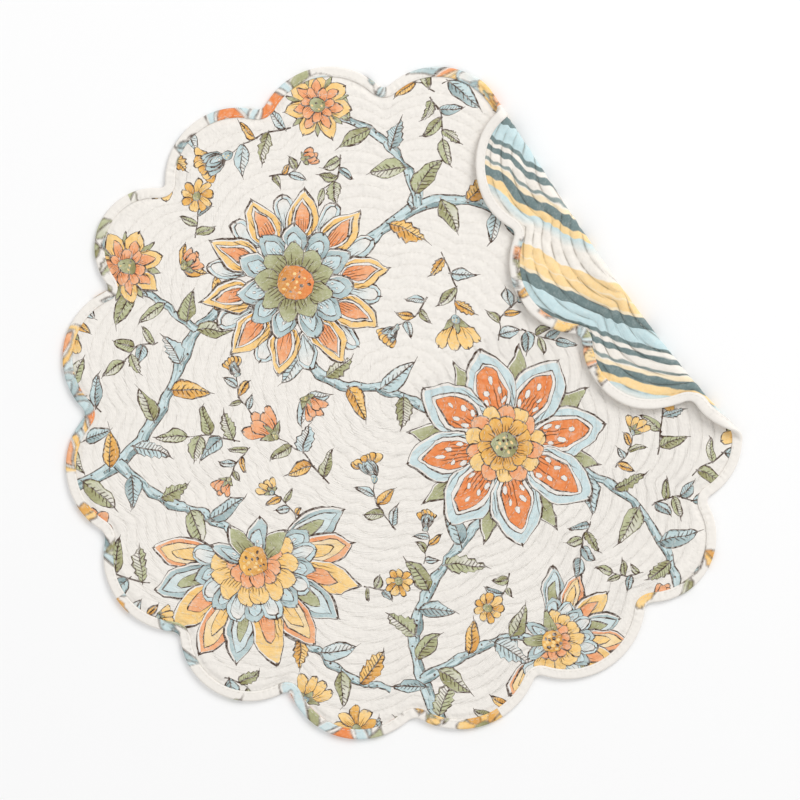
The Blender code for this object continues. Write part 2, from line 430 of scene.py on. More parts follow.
@dataclass
class Quilt:
    """Heights of the mat's faces above the table while it is flat."""

    outline: Outline
    fold: Fold
    pitch: float = QUILT_PITCH
    start: float = 14.0
    rim_end: float = 7.0
    rim_run: float = 3.8
    middle: float = 60.0  # within this the rows flatten out
    crest: float = 3.4
    groove: float = 3.2
    swell: float = 0.14
    puffs: tuple[float, float] = (0.28, 0.26)  # unevenness along the rows, wide and narrow
    front_round: float = 1.9  # above 1 the stitched lines open softly, below 1 they cut in
    back_round: float = 0.75
    front_rim: float = 2.2
    front_inside: float = 1.5
    front_rim_inside: float = 1.7
    back_dent: float = 0.6
    back_uneven: float = 0.3
    underside_full: float = 0.8
    underside_dent: float = 0.25
    back_rim: float = 0.9
    back_inside: float = 1.2
    back_rim_inside: float = 1.4

    def row(self, flat: Array) -> Array:
        """The quilting row at each flat point: whole on a crest, half way on a stitched line."""
        return (self.outline.echo_inset(flat) - self.start) / self.pitch

    def fullness(self, flat: Array, roundness: float) -> Array:
        """How far the quilting puffs out.

        Args:
            flat: Flat points.
            roundness: How softly the stitched lines open.

        Returns:
            0 on a stitched line and about 1 on a crest.
        """
        row = self.row(flat)
        rise = np.abs(np.sin(math.pi * (row + 0.5))) ** roundness
        rise = np.where(row < 0, 1.0, rise)
        puff = 1 + self.puffs[0] * ripple(flat, 13.0, 3) + self.puffs[1] * ripple(flat, 6.0, 4)
        return rise * puff * smooth(np.hypot(flat[:, 0], flat[:, 1]) / self.middle + 0.35)

    def _from_rim(self, flat: Array, rim: float, inner: Array | float) -> Array:
        """Eases from the pressed rim to the field's own height."""
        ease = smooth((self.outline.edge_inset(flat) - self.rim_end) / self.rim_run)
        return rim + (inner - rim) * ease

    def front(self, flat: Array) -> Array:
        """The quilted front's height."""
        puffed = self.groove + (self.crest - self.groove) * self.fullness(flat, self.front_round)
        return self._from_rim(flat, self.front_rim, puffed + self.swell * ripple(flat, 42.0, 5))

    def front_lining(self, flat: Array) -> Array:
        """The hidden side of the front panel."""
        return self._from_rim(flat, self.front_rim_inside, self.front_inside)

    def back(self, flat: Array) -> Array:
        """The reverse's height: level where it rests, dented along the lines on the flap.

        Args:
            flat: Flat points.

        Returns:
            Its heights.
        """
        past = smooth(self.fold.past_bend_start(flat) / self.pitch)
        dent = self.underside_dent + (self.back_dent - self.underside_dent) * past
        dent *= 1 + self.back_uneven * ripple(flat, 15.0, 6)
        full = self.fullness(flat, self.back_round) * np.where(past > 0, 1, self.underside_full)
        return self._from_rim(flat, self.back_rim, dent * (1 - full))

    def back_lining(self, flat: Array) -> Array:
        """The hidden side of the back panel."""
        return self._from_rim(flat, self.back_rim_inside, self.back_inside)


# ---- the print


class Dye(Enum):
    """The print's dyes, as red, green and blue of 0 to 255."""

    GROUND = (239, 234, 227)
    INK = (76, 56, 43)
    PALE = (209, 226, 228)
    SKY = (196, 214, 215)
    SLATE = (144, 165, 167)
    STRAW = (250, 216, 152)
    GOLD = (245, 193, 106)
    AMBER = (214, 154, 82)
    CORAL = (238, 146, 88)
    PEACH = (245, 186, 142)
    OLIVE = (150, 145, 97)
    SAGE = (190, 193, 154)


PETAL_PEN = (0.9, 2.2)  # the least and greatest distance between pen lines
VEIN_PEN = (1.3, 3.2)


class Pen(Enum):
    """How fine pen lines run in a printed area."""

    NONE = 0
    ALONG = 1  # from the base towards the tip
    LEFT = 2  # veins on a leaf's left half
    RIGHT = 3


LeafDyes = tuple[Dye, Dye, Dye]
LEAVES: tuple[LeafDyes, ...] = (
    (Dye.OLIVE, Dye.SAGE, Dye.GROUND),
    (Dye.SLATE, Dye.SKY, Dye.PALE),
    (Dye.AMBER, Dye.GOLD, Dye.STRAW),
    (Dye.OLIVE, Dye.SAGE, Dye.SAGE),
    (Dye.SKY, Dye.PALE, Dye.GROUND),
    (Dye.SAGE, Dye.SAGE, Dye.GROUND),
)


class Layer(NamedTuple):
    """One colour within a petal, as shares of the petal's length and width."""

    long: float
    wide: float
    near: Dye
    far: Dye


class Petal(NamedTuple):
    """How a petal widens and closes, the colours nested in it and its pairs of seeds."""

    base: float
    tip: float
    layers: tuple[Layer, ...]
    seeds: int = 0


class Ring(NamedTuple):
    """Petals about a bloom's middle; lengths are shares of its radius, angles are degrees."""

    count: int
    reach: float
    long: float
    wide: float
    petals: tuple[Petal, ...]
    spread: float = 360.0
    turn: float = 0.0


class Bloom(NamedTuple):
    """A flower: its rings from the back to the front, and its middle."""

    rings: tuple[Ring, ...]
    boss: float
    near: Dye
    far: Dye


BARE = (Dye.GROUND, Dye.GROUND)
GOLDEN = Petal(0.72, 1.15, (Layer(1, 1, Dye.GOLD, Dye.STRAW), Layer(0.8, 0.62, *BARE),
                            Layer(0.68, 0.46, Dye.CORAL, Dye.PEACH)))
PALE_RIMMED = Petal(0.85, 0.85, (Layer(1, 1, Dye.PALE, Dye.PALE), Layer(0.8, 0.7, *BARE),
                                 Layer(0.7, 0.54, Dye.CORAL, Dye.CORAL)), 3)
BLUE_TIP = Petal(0.8, 0.5, (Layer(1, 1, Dye.SKY, Dye.PALE), Layer(0.86, 0.6, Dye.PALE, Dye.GROUND)))
BLUE_SEEDED = Petal(0.8, 0.85, (Layer(1, 1, Dye.SLATE, Dye.SKY), Layer(0.7, 0.6, Dye.SKY, Dye.PALE)), 2)
OLIVE_TONGUE = Petal(0.7, 0.9, (Layer(1, 1, Dye.OLIVE, Dye.SAGE),))
GOLD_FRILL = Petal(0.8, 0.4, (Layer(1, 1, Dye.GOLD, Dye.STRAW),))
AMBER_FRILL = Petal(0.8, 0.4, (Layer(1, 1, Dye.AMBER, Dye.GOLD),))
CORAL_FRILL = Petal(0.7, 0.5, (Layer(1, 1, Dye.CORAL, Dye.PEACH),))
WARM_FEATHER = Petal(1.1, 0.95, (Layer(1, 1, Dye.CORAL, Dye.PEACH),
                                 Layer(0.84, 0.66, Dye.GROUND, Dye.STRAW),
                                 Layer(0.62, 0.42, Dye.GOLD, Dye.STRAW)))
GOLD_FEATHER = Petal(1.1, 0.95, (Layer(1, 1, Dye.GOLD, Dye.STRAW), Layer(0.66, 0.5, Dye.CORAL, Dye.PEACH)))
COOL_FEATHER = Petal(1.1, 0.95, (Layer(1, 1, Dye.SLATE, Dye.SKY),
                                 Layer(0.84, 0.66, Dye.GROUND, Dye.PALE),
                                 Layer(0.62, 0.4, Dye.OLIVE, Dye.SAGE)))
SEPAL = Petal(0.5, 1.2, (Layer(1, 1, Dye.OLIVE, Dye.SAGE),))


class Flower(Enum):
    """The blooms of the print."""

    DAHLIA = Bloom((
        Ring(10, 0.93, 0.4, 0.2, (BLUE_TIP,), turn=18),
        Ring(10, 1.0, 0.55, 0.34, (GOLDEN,)),
        Ring(11, 0.62, 0.34, 0.25, (BLUE_SEEDED,), turn=17),
        Ring(9, 0.42, 0.27, 0.22, (OLIVE_TONGUE,), turn=5),
    ), 0.19, Dye.CORAL, Dye.AMBER)
    ROSE = Bloom((
        Ring(8, 0.98, 0.5, 0.24, (SEPAL,), turn=22.5),
        Ring(8, 1.0, 0.8, 0.5, (PALE_RIMMED,)),
        Ring(14, 0.4, 0.24, 0.17, (GOLD_FRILL, CORAL_FRILL)),
        Ring(11, 0.28, 0.18, 0.14, (AMBER_FRILL,), turn=9),
    ), 0.13, Dye.OLIVE, Dye.SAGE)
    FAN = Bloom((
        Ring(11, 1.0, 0.72, 0.3, (WARM_FEATHER, COOL_FEATHER, GOLD_FEATHER), 215),
        Ring(12, 0.6, 0.3, 0.2, (BLUE_TIP, BLUE_SEEDED), 215),
        Ring(9, 0.42, 0.24, 0.17, (GOLD_FRILL,), 205),
        Ring(7, 0.27, 0.2, 0.13, (CORAL_FRILL,), 190),
        Ring(4, 0.42, 0.4, 0.17, (OLIVE_TONGUE, BLUE_SEEDED), 110, 180),
    ), 0.14, Dye.AMBER, Dye.GOLD)
    STAR = Bloom((
        Ring(7, 0.9, 0.5, 0.2, (SEPAL,), turn=26),
        Ring(7, 1.0, 0.84, 0.46, (GOLD_FEATHER,)),
        Ring(7, 0.5, 0.36, 0.24, (CORAL_FRILL,), turn=26),
    ), 0.2, Dye.OLIVE, Dye.SAGE)
    DAISY = Bloom((Ring(9, 1.0, 0.84, 0.44, (GOLD_FRILL, AMBER_FRILL)),), 0.26, Dye.OLIVE, Dye.SAGE)
    BLUE_DAISY = Bloom((Ring(8, 1.0, 0.84, 0.42, (BLUE_TIP,)),), 0.24, Dye.GOLD, Dye.AMBER)
    CORAL_DAISY = Bloom((Ring(6, 1.0, 0.84, 0.6, (CORAL_FRILL,)),), 0.24, Dye.OLIVE, Dye.SAGE)
    TULIP = Bloom((
        Ring(3, 1.2, 1.1, 0.42, (CORAL_FRILL,), 62),
        Ring(2, 1.0, 0.95, 0.42, (CORAL_FRILL,), 30),
        Ring(3, 0.55, 0.5, 0.24, (SEPAL,), 130),
    ), 0.16, Dye.OLIVE, Dye.SAGE)
    GOLD_TULIP = Bloom((
        Ring(4, 1.15, 1.05, 0.42, (GOLD_FRILL,), 84),
        Ring(3, 0.55, 0.5, 0.24, (SEPAL,), 130),
    ), 0.16, Dye.SLATE, Dye.SKY)
    THISTLE = Bloom((
        Ring(6, 1.25, 0.5, 0.3, (GOLD_FRILL, AMBER_FRILL), 62),
        Ring(5, 0.95, 0.9, 0.32, (BLUE_SEEDED,), 46),
    ), 0.17, Dye.SLATE, Dye.SKY)


@dataclass
class Patch:
    """One printed area: its outline, the dyes between which it shades, and its pen lines."""

    outline: Array
    near: Dye
    far: Dye
    pen: Pen

    def _frame(self, points: Array) -> tuple[Array, Array, float, float]:
        """Sets points against the patch's own run.

        Args:
            points: Flat points.

        Returns:
            Each point's place along and aside, and the patch's length and width.
        """
        run = self.outline[len(self.outline) // 2] - self.outline[0]
        length = max(float(np.linalg.norm(run)), 1e-6)
        ahead = run / length
        left = np.array([-ahead[1], ahead[0]])
        reach = points - self.outline[0]
        return reach @ ahead, reach @ left, length, float(np.ptp(self.outline @ left))

    def colours(self, points: Array) -> Array:
        """The patch's linear colour at each point.

        Args:
            points: Flat points.

        Returns:
            Rows of three.
        """
        along, _, length, _ = self._frame(points)
        share = np.clip(along / length, 0, 1)[:, None]
        return linear(self.near.value) * (1 - share) + linear(self.far.value) * share

    def pen_lines(self, points: Array) -> Array:
        """Lays the pen lines.

        Args:
            points: Flat points.

        Returns:
            How far each lies from a line's start to its end, which line it is, and 1.
        """
        along, aside, length, width = self._frame(points)
        if self.pen is Pen.ALONG:
            line = aside / np.clip(width / 6, *PETAL_PEN)
            return np.stack([along / length, line, np.ones(len(points))], 1)
        out = aside if self.pen is Pen.LEFT else -aside
        half = width if self.pen is Pen.LEFT else width / 2
        line = (along - 0.8 * out) / np.clip(length / 8, *VEIN_PEN)
        return np.stack([out / half, line, np.ones(len(points))], 1)

    def holds(self, points: Array) -> Array:
        """Which points lie inside.

        Args:
            points: Flat points.

        Returns:
            A mask.
        """
        inside = np.zeros(len(points), bool)
        x, y = points[:, 0], points[:, 1]
        for (ax, ay), (bx, by) in zip(self.outline, np.roll(self.outline, -1, axis=0)):
            if ay != by:
                crosses = (ay > y) != (by > y)
                inside ^= crosses & (x < ax + (y - ay) * (bx - ax) / (by - ay))
        return inside


def turned(points: Array, heading: float, place: Place) -> Array:
    """Points drawn along +X, turned to a heading and moved to a place."""
    ahead = direction(heading)
    return points[:, :1] * ahead + points[:, 1:] * [-ahead[1], ahead[0]] + np.asarray(place, float)


TOOTH_EVENNESS = 0.6  # 1 spaces the teeth evenly, 0 crowds them towards both ends
TOOTH_WIDTHS = (0.84, 1.16)  # of the plain edge, in the gaps and at the points
TOOTH_SLANTS = (-0.2, 0.35)  # how far both lean towards the tip, in steps


def blade(length: float, width: float, base: float = 0.6, tip: float = 0.9,
          bend: float = 0.0, steps: int = 9, teeth: int = 0) -> Array:
    """The outline of a petal or leaf along +X.

    Args:
        length: From base to tip.
        width: At the widest.
        base: How slowly it widens; above 1 gives it a stalk.
        tip: How slowly it closes; above 1 draws the tip out.
        bend: How far the tip turns aside, as a share of the length.
        steps: Points on each side.
        teeth: Teeth on each side; none leaves the edge plain.

    Returns:
        The closed outline.
    """
    steps = 2 * teeth + 2 if teeth else steps
    u = (1 - np.cos(np.linspace(0, math.pi, steps + 1))) / 2
    if teeth:
        u = (1 - TOOTH_EVENNESS) * u + TOOTH_EVENNESS * np.linspace(0, 1, steps + 1)
    peak = base / (base + tip)
    half = width / 2 * u**base * (1 - u) ** tip / (peak**base * (1 - peak) ** tip)
    if teeth:
        in_gap = np.arange(1, steps) % 2
        half[1:-1] *= np.where(in_gap, *TOOTH_WIDTHS)
        u[1:-1] += np.where(in_gap, *TOOTH_SLANTS) / steps
    middle = bend * length * u**2
    upper = np.stack([u * length, middle + half], 1)
    lower = np.stack([u * length, middle - half], 1)
    return np.concatenate([upper, lower[-2:0:-1]])


def disc(radius: float, steps: int = 12) -> Array:
    """The outline of a round spot about the origin."""
    return Outline.polar(radius, np.arange(steps) / steps * math.tau)


def curve(points: Sequence[Place], steps: int = 8) -> Array:
    """A smooth open line through the points.

    Args:
        points: Places that it runs through.
        steps: From each to the next.

    Returns:
        The line's points.
    """
    p = np.asarray(points, float)
    p = np.concatenate([2 * p[:1] - p[1:2], p, 2 * p[-1:] - p[-2:-1]])
    t = np.arange(steps)[:, None] / steps
    out = [
        0.5 * (2 * b + (c - a) * t + (2 * a - 5 * b + 4 * c - d) * t**2 + (3 * b - a - 3 * c + d) * t**3)
        for a, b, c, d in zip(p, p[1:], p[2:], p[3:])
    ]
    return np.concatenate([*out, p[-2:-1]])


def beside(line: Array) -> Array:
    """The unit vector to the left at each point of a line.

    Args:
        line: Its points.

    Returns:
        One vector for each.
    """
    run = np.gradient(line, axis=0)
    run /= np.maximum(np.linalg.norm(run, axis=1, keepdims=True), 1e-9)
    return np.stack([-run[:, 1], run[:, 0]], 1)


def ribbon(line: Array, widths: Array) -> Array:
    """The outline of a band of these widths along a line."""
    side = beside(line) * widths[:, None] / 2
    return np.concatenate([line + side, (line - side)[::-1]])


@dataclass
class Brush:
    """Lays down printed areas, each over those before it."""

    wander: float = 0.9  # how far the hand strays from each line
    slip: tuple[float, float] = (0.4, -0.3)  # how far a wide area's dye misses its line
    patches: list[Patch] = field(default_factory=list)
    rng: np.random.Generator = field(default_factory=lambda: np.random.default_rng(7))

    def fill(self, outline: Array, near: Dye, far: Dye | None = None, pen: Pen = Pen.NONE) -> None:
        """An area that shades from near, at its first point, to far, half way round.

        Args:
            outline: Its edge.
            near: A dye.
            far: Another; left out, the area is all of the first.
            pen: Its pen lines.
        """
        aside = np.column_stack([ripple(outline, 14, 21), ripple(outline, 14, 22)])
        shake = np.column_stack([ripple(outline, 5, 23), ripple(outline, 5, 24)])
        self.patches.append(Patch(outline + self.wander * (aside + 0.3 * shake), near, far or near, pen))

    def inked(self, outline: Array, near: Dye, far: Dye | None = None, line: float = 0.7,
              pen: Pen = Pen.ALONG, slips: bool = False) -> None:
        """An area with an uneven ink line round it.

        Args:
            outline: Its edge.
            near: The dye at its first point.
            far: The dye half way round.
            line: The ink's width.
            pen: Its pen lines.
            slips: Whether the dye misses the line.
        """
        after = np.roll(outline, -1, axis=0)
        run = after - np.roll(outline, 1, axis=0)
        area = (outline[:, 0] * after[:, 1] - outline[:, 1] * after[:, 0]).sum()
        out = np.stack([run[:, 1], -run[:, 0]], 1) * np.sign(area)
        out /= np.maximum(np.linalg.norm(out, axis=1, keepdims=True), 1e-9)
        turn = np.arange(len(outline)) / len(outline) * math.tau * 2 + self.rng.random() * math.tau
        self.fill(outline + out * (line * (0.8 + 0.4 * np.sin(turn)))[:, None], Dye.INK)
        if slips:
            self.fill(outline, Dye.GROUND)
            outline = outline.mean(0) + (outline - outline.mean(0)) * 0.95 + self.slip
        self.fill(outline, near, far, pen if near is not Dye.GROUND else Pen.NONE)

    def stroke(self, line: Array, width: float, dye: Dye = Dye.INK,
               ends: tuple[float, float] = (0.3, 0.3)) -> None:
        """A pen stroke, thinner towards its ends.

        Args:
            line: Its middle.
            width: At its widest.
            dye: Its dye.
            ends: The shares of the width at its ends.
        """
        u = np.linspace(0, 1, len(line))
        taper = ends[0] + (1 - ends[0]) * np.clip(u / 0.25, 0, 1)
        taper = np.minimum(taper, ends[1] + (1 - ends[1]) * np.clip((1 - u) / 0.35, 0, 1))
        self.fill(ribbon(line, width * taper), dye)


@dataclass
class Motifs(Brush):
    """The flowers, leaves and branches of the print."""

    leaf_ink: float = 0.78
    rib: float = 0.8
    petal_ink: tuple[float, float] = (1.1, 0.72)  # round a large petal, and elsewhere
    large: float = 20.0  # a petal longer than this has a heavier line and a slipped dye
    toothed: float = 13.0  # a leaf longer than this may have teeth
    pointed: float = 8.0  # a petal longer than this has a dark point

    def leaf(self, place: Place, heading: float, length: float, width: float,
             dyes: LeafDyes, bend: float = 0.0, teeth: int = 0) -> None:
        """A leaf with veins, one half of it paler and its rib drawn out past the tip.

        Args:
            place: Its base.
            heading: Where it points, in degrees.
            length: From base to tip.
            width: At the widest.
            dyes: Two for the darker half, the last two for the paler.
            bend: How far the tip turns aside.
            teeth: On each side.
        """
        outline = blade(length, width, 0.7, 1.1, bend, 8, teeth)
        half = len(outline) // 2
        self.inked(turned(outline, heading, place), dyes[0], dyes[1], self.leaf_ink, Pen.RIGHT)
        u = np.linspace(0, 1, 6)
        spine = np.stack([u * length, bend * length * u**2], 1)
        upper = outline[:half]
        drawn_in = 0.12 * (np.interp(upper[:, 0], spine[:, 0], spine[:, 1]) - upper[:, 1])
        upper = upper + np.stack([np.zeros(half), drawn_in], 1)
        self.fill(turned(np.concatenate([upper, spine[::-1]]), heading, place), dyes[1], dyes[2], Pen.LEFT)
        rib = [[-0.1, 0], [0.3, bend * 0.09], [0.7, bend * 0.49], [1.0, bend], [1.14, bend * 1.5]]
        self.stroke(turned(np.array(rib) * length, heading, place), self.rib, ends=(0.9, 0.3))

    def stem(self, line: Array, width: float, count: int, size: float, first: int) -> None:
        """A thin stem with leaves to either side, or only its leaves if it has no width.

        Args:
            line: Its middle.
            width: Of the stem.
            count: How many leaves.
            size: A leaf's usual length.
            first: Chooses the dyes.
        """
        if width:
            self.stroke(line, width, ends=(0.9, 0.5))
        side = beside(line)
        last = len(line) - 1
        for k in range(count):
            i = int((0.14 + 0.84 * k / count) * last)
            sign = 1 if k % 2 else -1
            run = line[min(i + 1, last)] - line[i]
            heading = math.degrees(math.atan2(run[1], run[0])) + sign * self.rng.uniform(42, 64)
            long = size * self.rng.uniform(0.78, 1.15)
            start = line[i] + side[i] * sign * width * 0.3
            self.leaf(start, heading, long, long * self.rng.uniform(0.38, 0.5),
                      LEAVES[(first + k * 2) % len(LEAVES)], 0.14 * sign,
                      5 if long > self.toothed and (first + k) % 3 == 2 else 0)

    def petal(self, place: Array, heading: float, length: float, width: float, petal: Petal) -> None:
        """A petal with its colours, seeds and dark point.

        Args:
            place: Its base.
            heading: Where it points, in degrees.
            length: From base to tip.
            width: At the widest.
            petal: Its kind.
        """
        bend = self.rng.uniform(-0.05, 0.05)
        for depth, layer in enumerate(petal.layers):
            long = length * layer.long
            steps = int(np.clip(long / 3, 7, 16))
            outline = blade(long, width * layer.wide, petal.base, petal.tip, bend, steps)
            start = place + direction(heading) * length * 0.05 * depth
            heavy = length > self.large and not depth
            self.inked(turned(outline, heading, start), layer.near, layer.far,
                       self.petal_ink[0 if heavy else 1], slips=heavy)
        for k in range(petal.seeds):
            for s in (-1, 1) if k < petal.seeds - 1 else (0,):
                spot = [length * (0.26 + 0.14 * k), s * width * (0.15 - 0.04 * k)]
                drop = turned(blade(length * 0.1, length * 0.055, 0.6, 0.6, 0, 3), s * 18, spot)
                self.inked(turned(drop, heading, place), Dye.GROUND, None, 0.3)
        if length > self.pointed:
            size = min(length * 0.14, 3.6)
            tip = turned(np.array([[1.01, bend]]) * length, heading, place)[0]
            point = blade(size, size * 0.42, 0.7, 1.2, 0, 4)
            self.fill(turned(point, heading, tip - direction(heading) * size * 0.6), Dye.INK)

    def bloom(self, place: Place, radius: float, turn: float, flower: Flower) -> None:
        """A flower, its outer petals first.

        Args:
            place: Its middle.
            radius: To its outer petals.
            turn: In degrees.
            flower: Its kind.
        """
        middle, bloom = np.asarray(place, float), flower.value
        for ring in bloom.rings:
            whole = ring.spread == 360
            step = ring.spread / (ring.count - (not whole))
            from_side = sorted(range(ring.count), key=lambda k: -abs(k - (ring.count - 1) / 2))
            for k in range(ring.count) if whole else from_side:
                start = turn + ring.turn - (0 if whole else ring.spread / 2)
                heading = start + step * k + self.rng.uniform(-3, 3)
                long = radius * ring.long * self.rng.uniform(0.94, 1.04)
                base = middle + direction(heading) * radius * (ring.reach - ring.long)
                self.petal(base, heading, long, radius * ring.wide, ring.petals[k % len(ring.petals)])
        self.inked(disc(radius * bloom.boss, 12) + middle, bloom.near, bloom.far, 0.6, Pen.NONE)
        dots = 14 if radius > 30 else 5
        for k in range(dots):
            spot = middle + direction(137.5 * k) * radius * bloom.boss * 0.75 * math.sqrt((k + 0.5) / dots)
            self.fill(disc(min(radius * 0.03, 1.1), 5) + spot, Dye.INK if k % 2 else Dye.STRAW)

    def branch(self, points: Sequence[Place], width: float) -> Array:
        """A branch with rough bark.

        Args:
            points: The places that it runs through.
            width: At its root.

        Returns:
            Its middle line.
        """
        line = curve(points, 9)
        u = np.linspace(0, 1, len(line))
        widths = width * (1.0 - 0.35 * u) * (1 + 0.12 * np.sin(u * 31) + 0.08 * np.sin(u * 83))
        self.fill(ribbon(line, widths + 1.5), Dye.INK)
        self.fill(ribbon(line, widths), Dye.SLATE)
        side = beside(line) * widths[:, None]
        self.fill(ribbon(line + side * 0.1, widths * 0.76), Dye.SKY)
        for k in range(len(line) - 3):
            sway = 0.3 * math.sin(k * 2.3)
            piece = line[k : k + 3] + side[k : k + 3] * sway
            self.stroke(piece, widths[k] * 0.3, (Dye.PALE, Dye.SLATE, Dye.PALE)[k % 3], (0.3, 0.3))
            if k % 2:
                self.stroke(piece[:2] - side[k : k + 2] * (sway * 1.6 + 0.1), widths[k] * 0.14, Dye.INK)
            else:
                self.fill(disc(0.7, 5) + line[k] + side[k] * 0.38 * math.cos(k * 4.1), Dye.INK)
        return line

    def spray(self, place: Place, heading: float, size: float, number: int) -> None:
        """A short leafy stem, with a flower at its end two times in three.

        Args:
            place: Its middle.
            heading: Where it points, in degrees.
            size: About its length.
            number: Chooses the flower and the dyes.
        """
        flowers = (Flower.TULIP, None, Flower.GOLD_TULIP, Flower.DAISY, Flower.THISTLE, None)
        base = np.asarray(place, float) - direction(heading) * size * 0.75
        bow = direction(heading + 90) * size * self.rng.uniform(-0.2, 0.2)
        ahead = direction(heading) * size
        line = curve([base, base + ahead * 0.6 + bow, base + ahead * 1.1], 5)
        flower = flowers[number % len(flowers)]
        self.stem(line, 1.0, 4, size * (0.42 if flower else 0.58), number)
        if flower:
            self.bloom(line[-1], size * 0.42, heading, flower)
        else:
            self.leaf(line[-1], heading, size * 0.6, size * 0.26, LEAVES[number % len(LEAVES)], 0.1)


class Bough(NamedTuple):
    """A branch's width, its number of leaves and the places that it runs through."""

    width: float
    leaves: int
    route: tuple[tuple[float, float], ...]


BOUGHS = (
    Bough(7.5, 8, ((-230, -66), (-178, -40), (-150, -4), (-128, 44), (-96, 66))),
    Bough(6.0, 4, ((-178, -40), (-150, -62), (-124, -72), (-104, -84))),
    Bough(6.5, 8, ((-30, 92), (12, 122), (52, 124), (84, 100), (112, 96))),
    Bough(5.0, 5, ((12, 122), (2, 150), (-22, 172), (-54, 182))),
    Bough(6.5, 5, ((-70, 40), (-44, 12), (-8, 6), (22, -8))),
    Bough(7.0, 8, ((40, -230), (14, -176), (10, -140), (28, -104), (52, -74))),
    Bough(5.5, 4, ((14, -176), (44, -160), (66, -150), (84, -150))),
    Bough(5.5, 5, ((104, -40), (140, -58), (166, -92), (176, -120))),
    Bough(4.5, 4, ((-70, -146), (-50, -160), (-30, -176), (-6, -182))),
    Bough(4.0, 4, ((-128, 44), (-158, 66), (-180, 70))),
    Bough(4.0, 4, ((84, 100), (100, 126), (128, 140))),
)


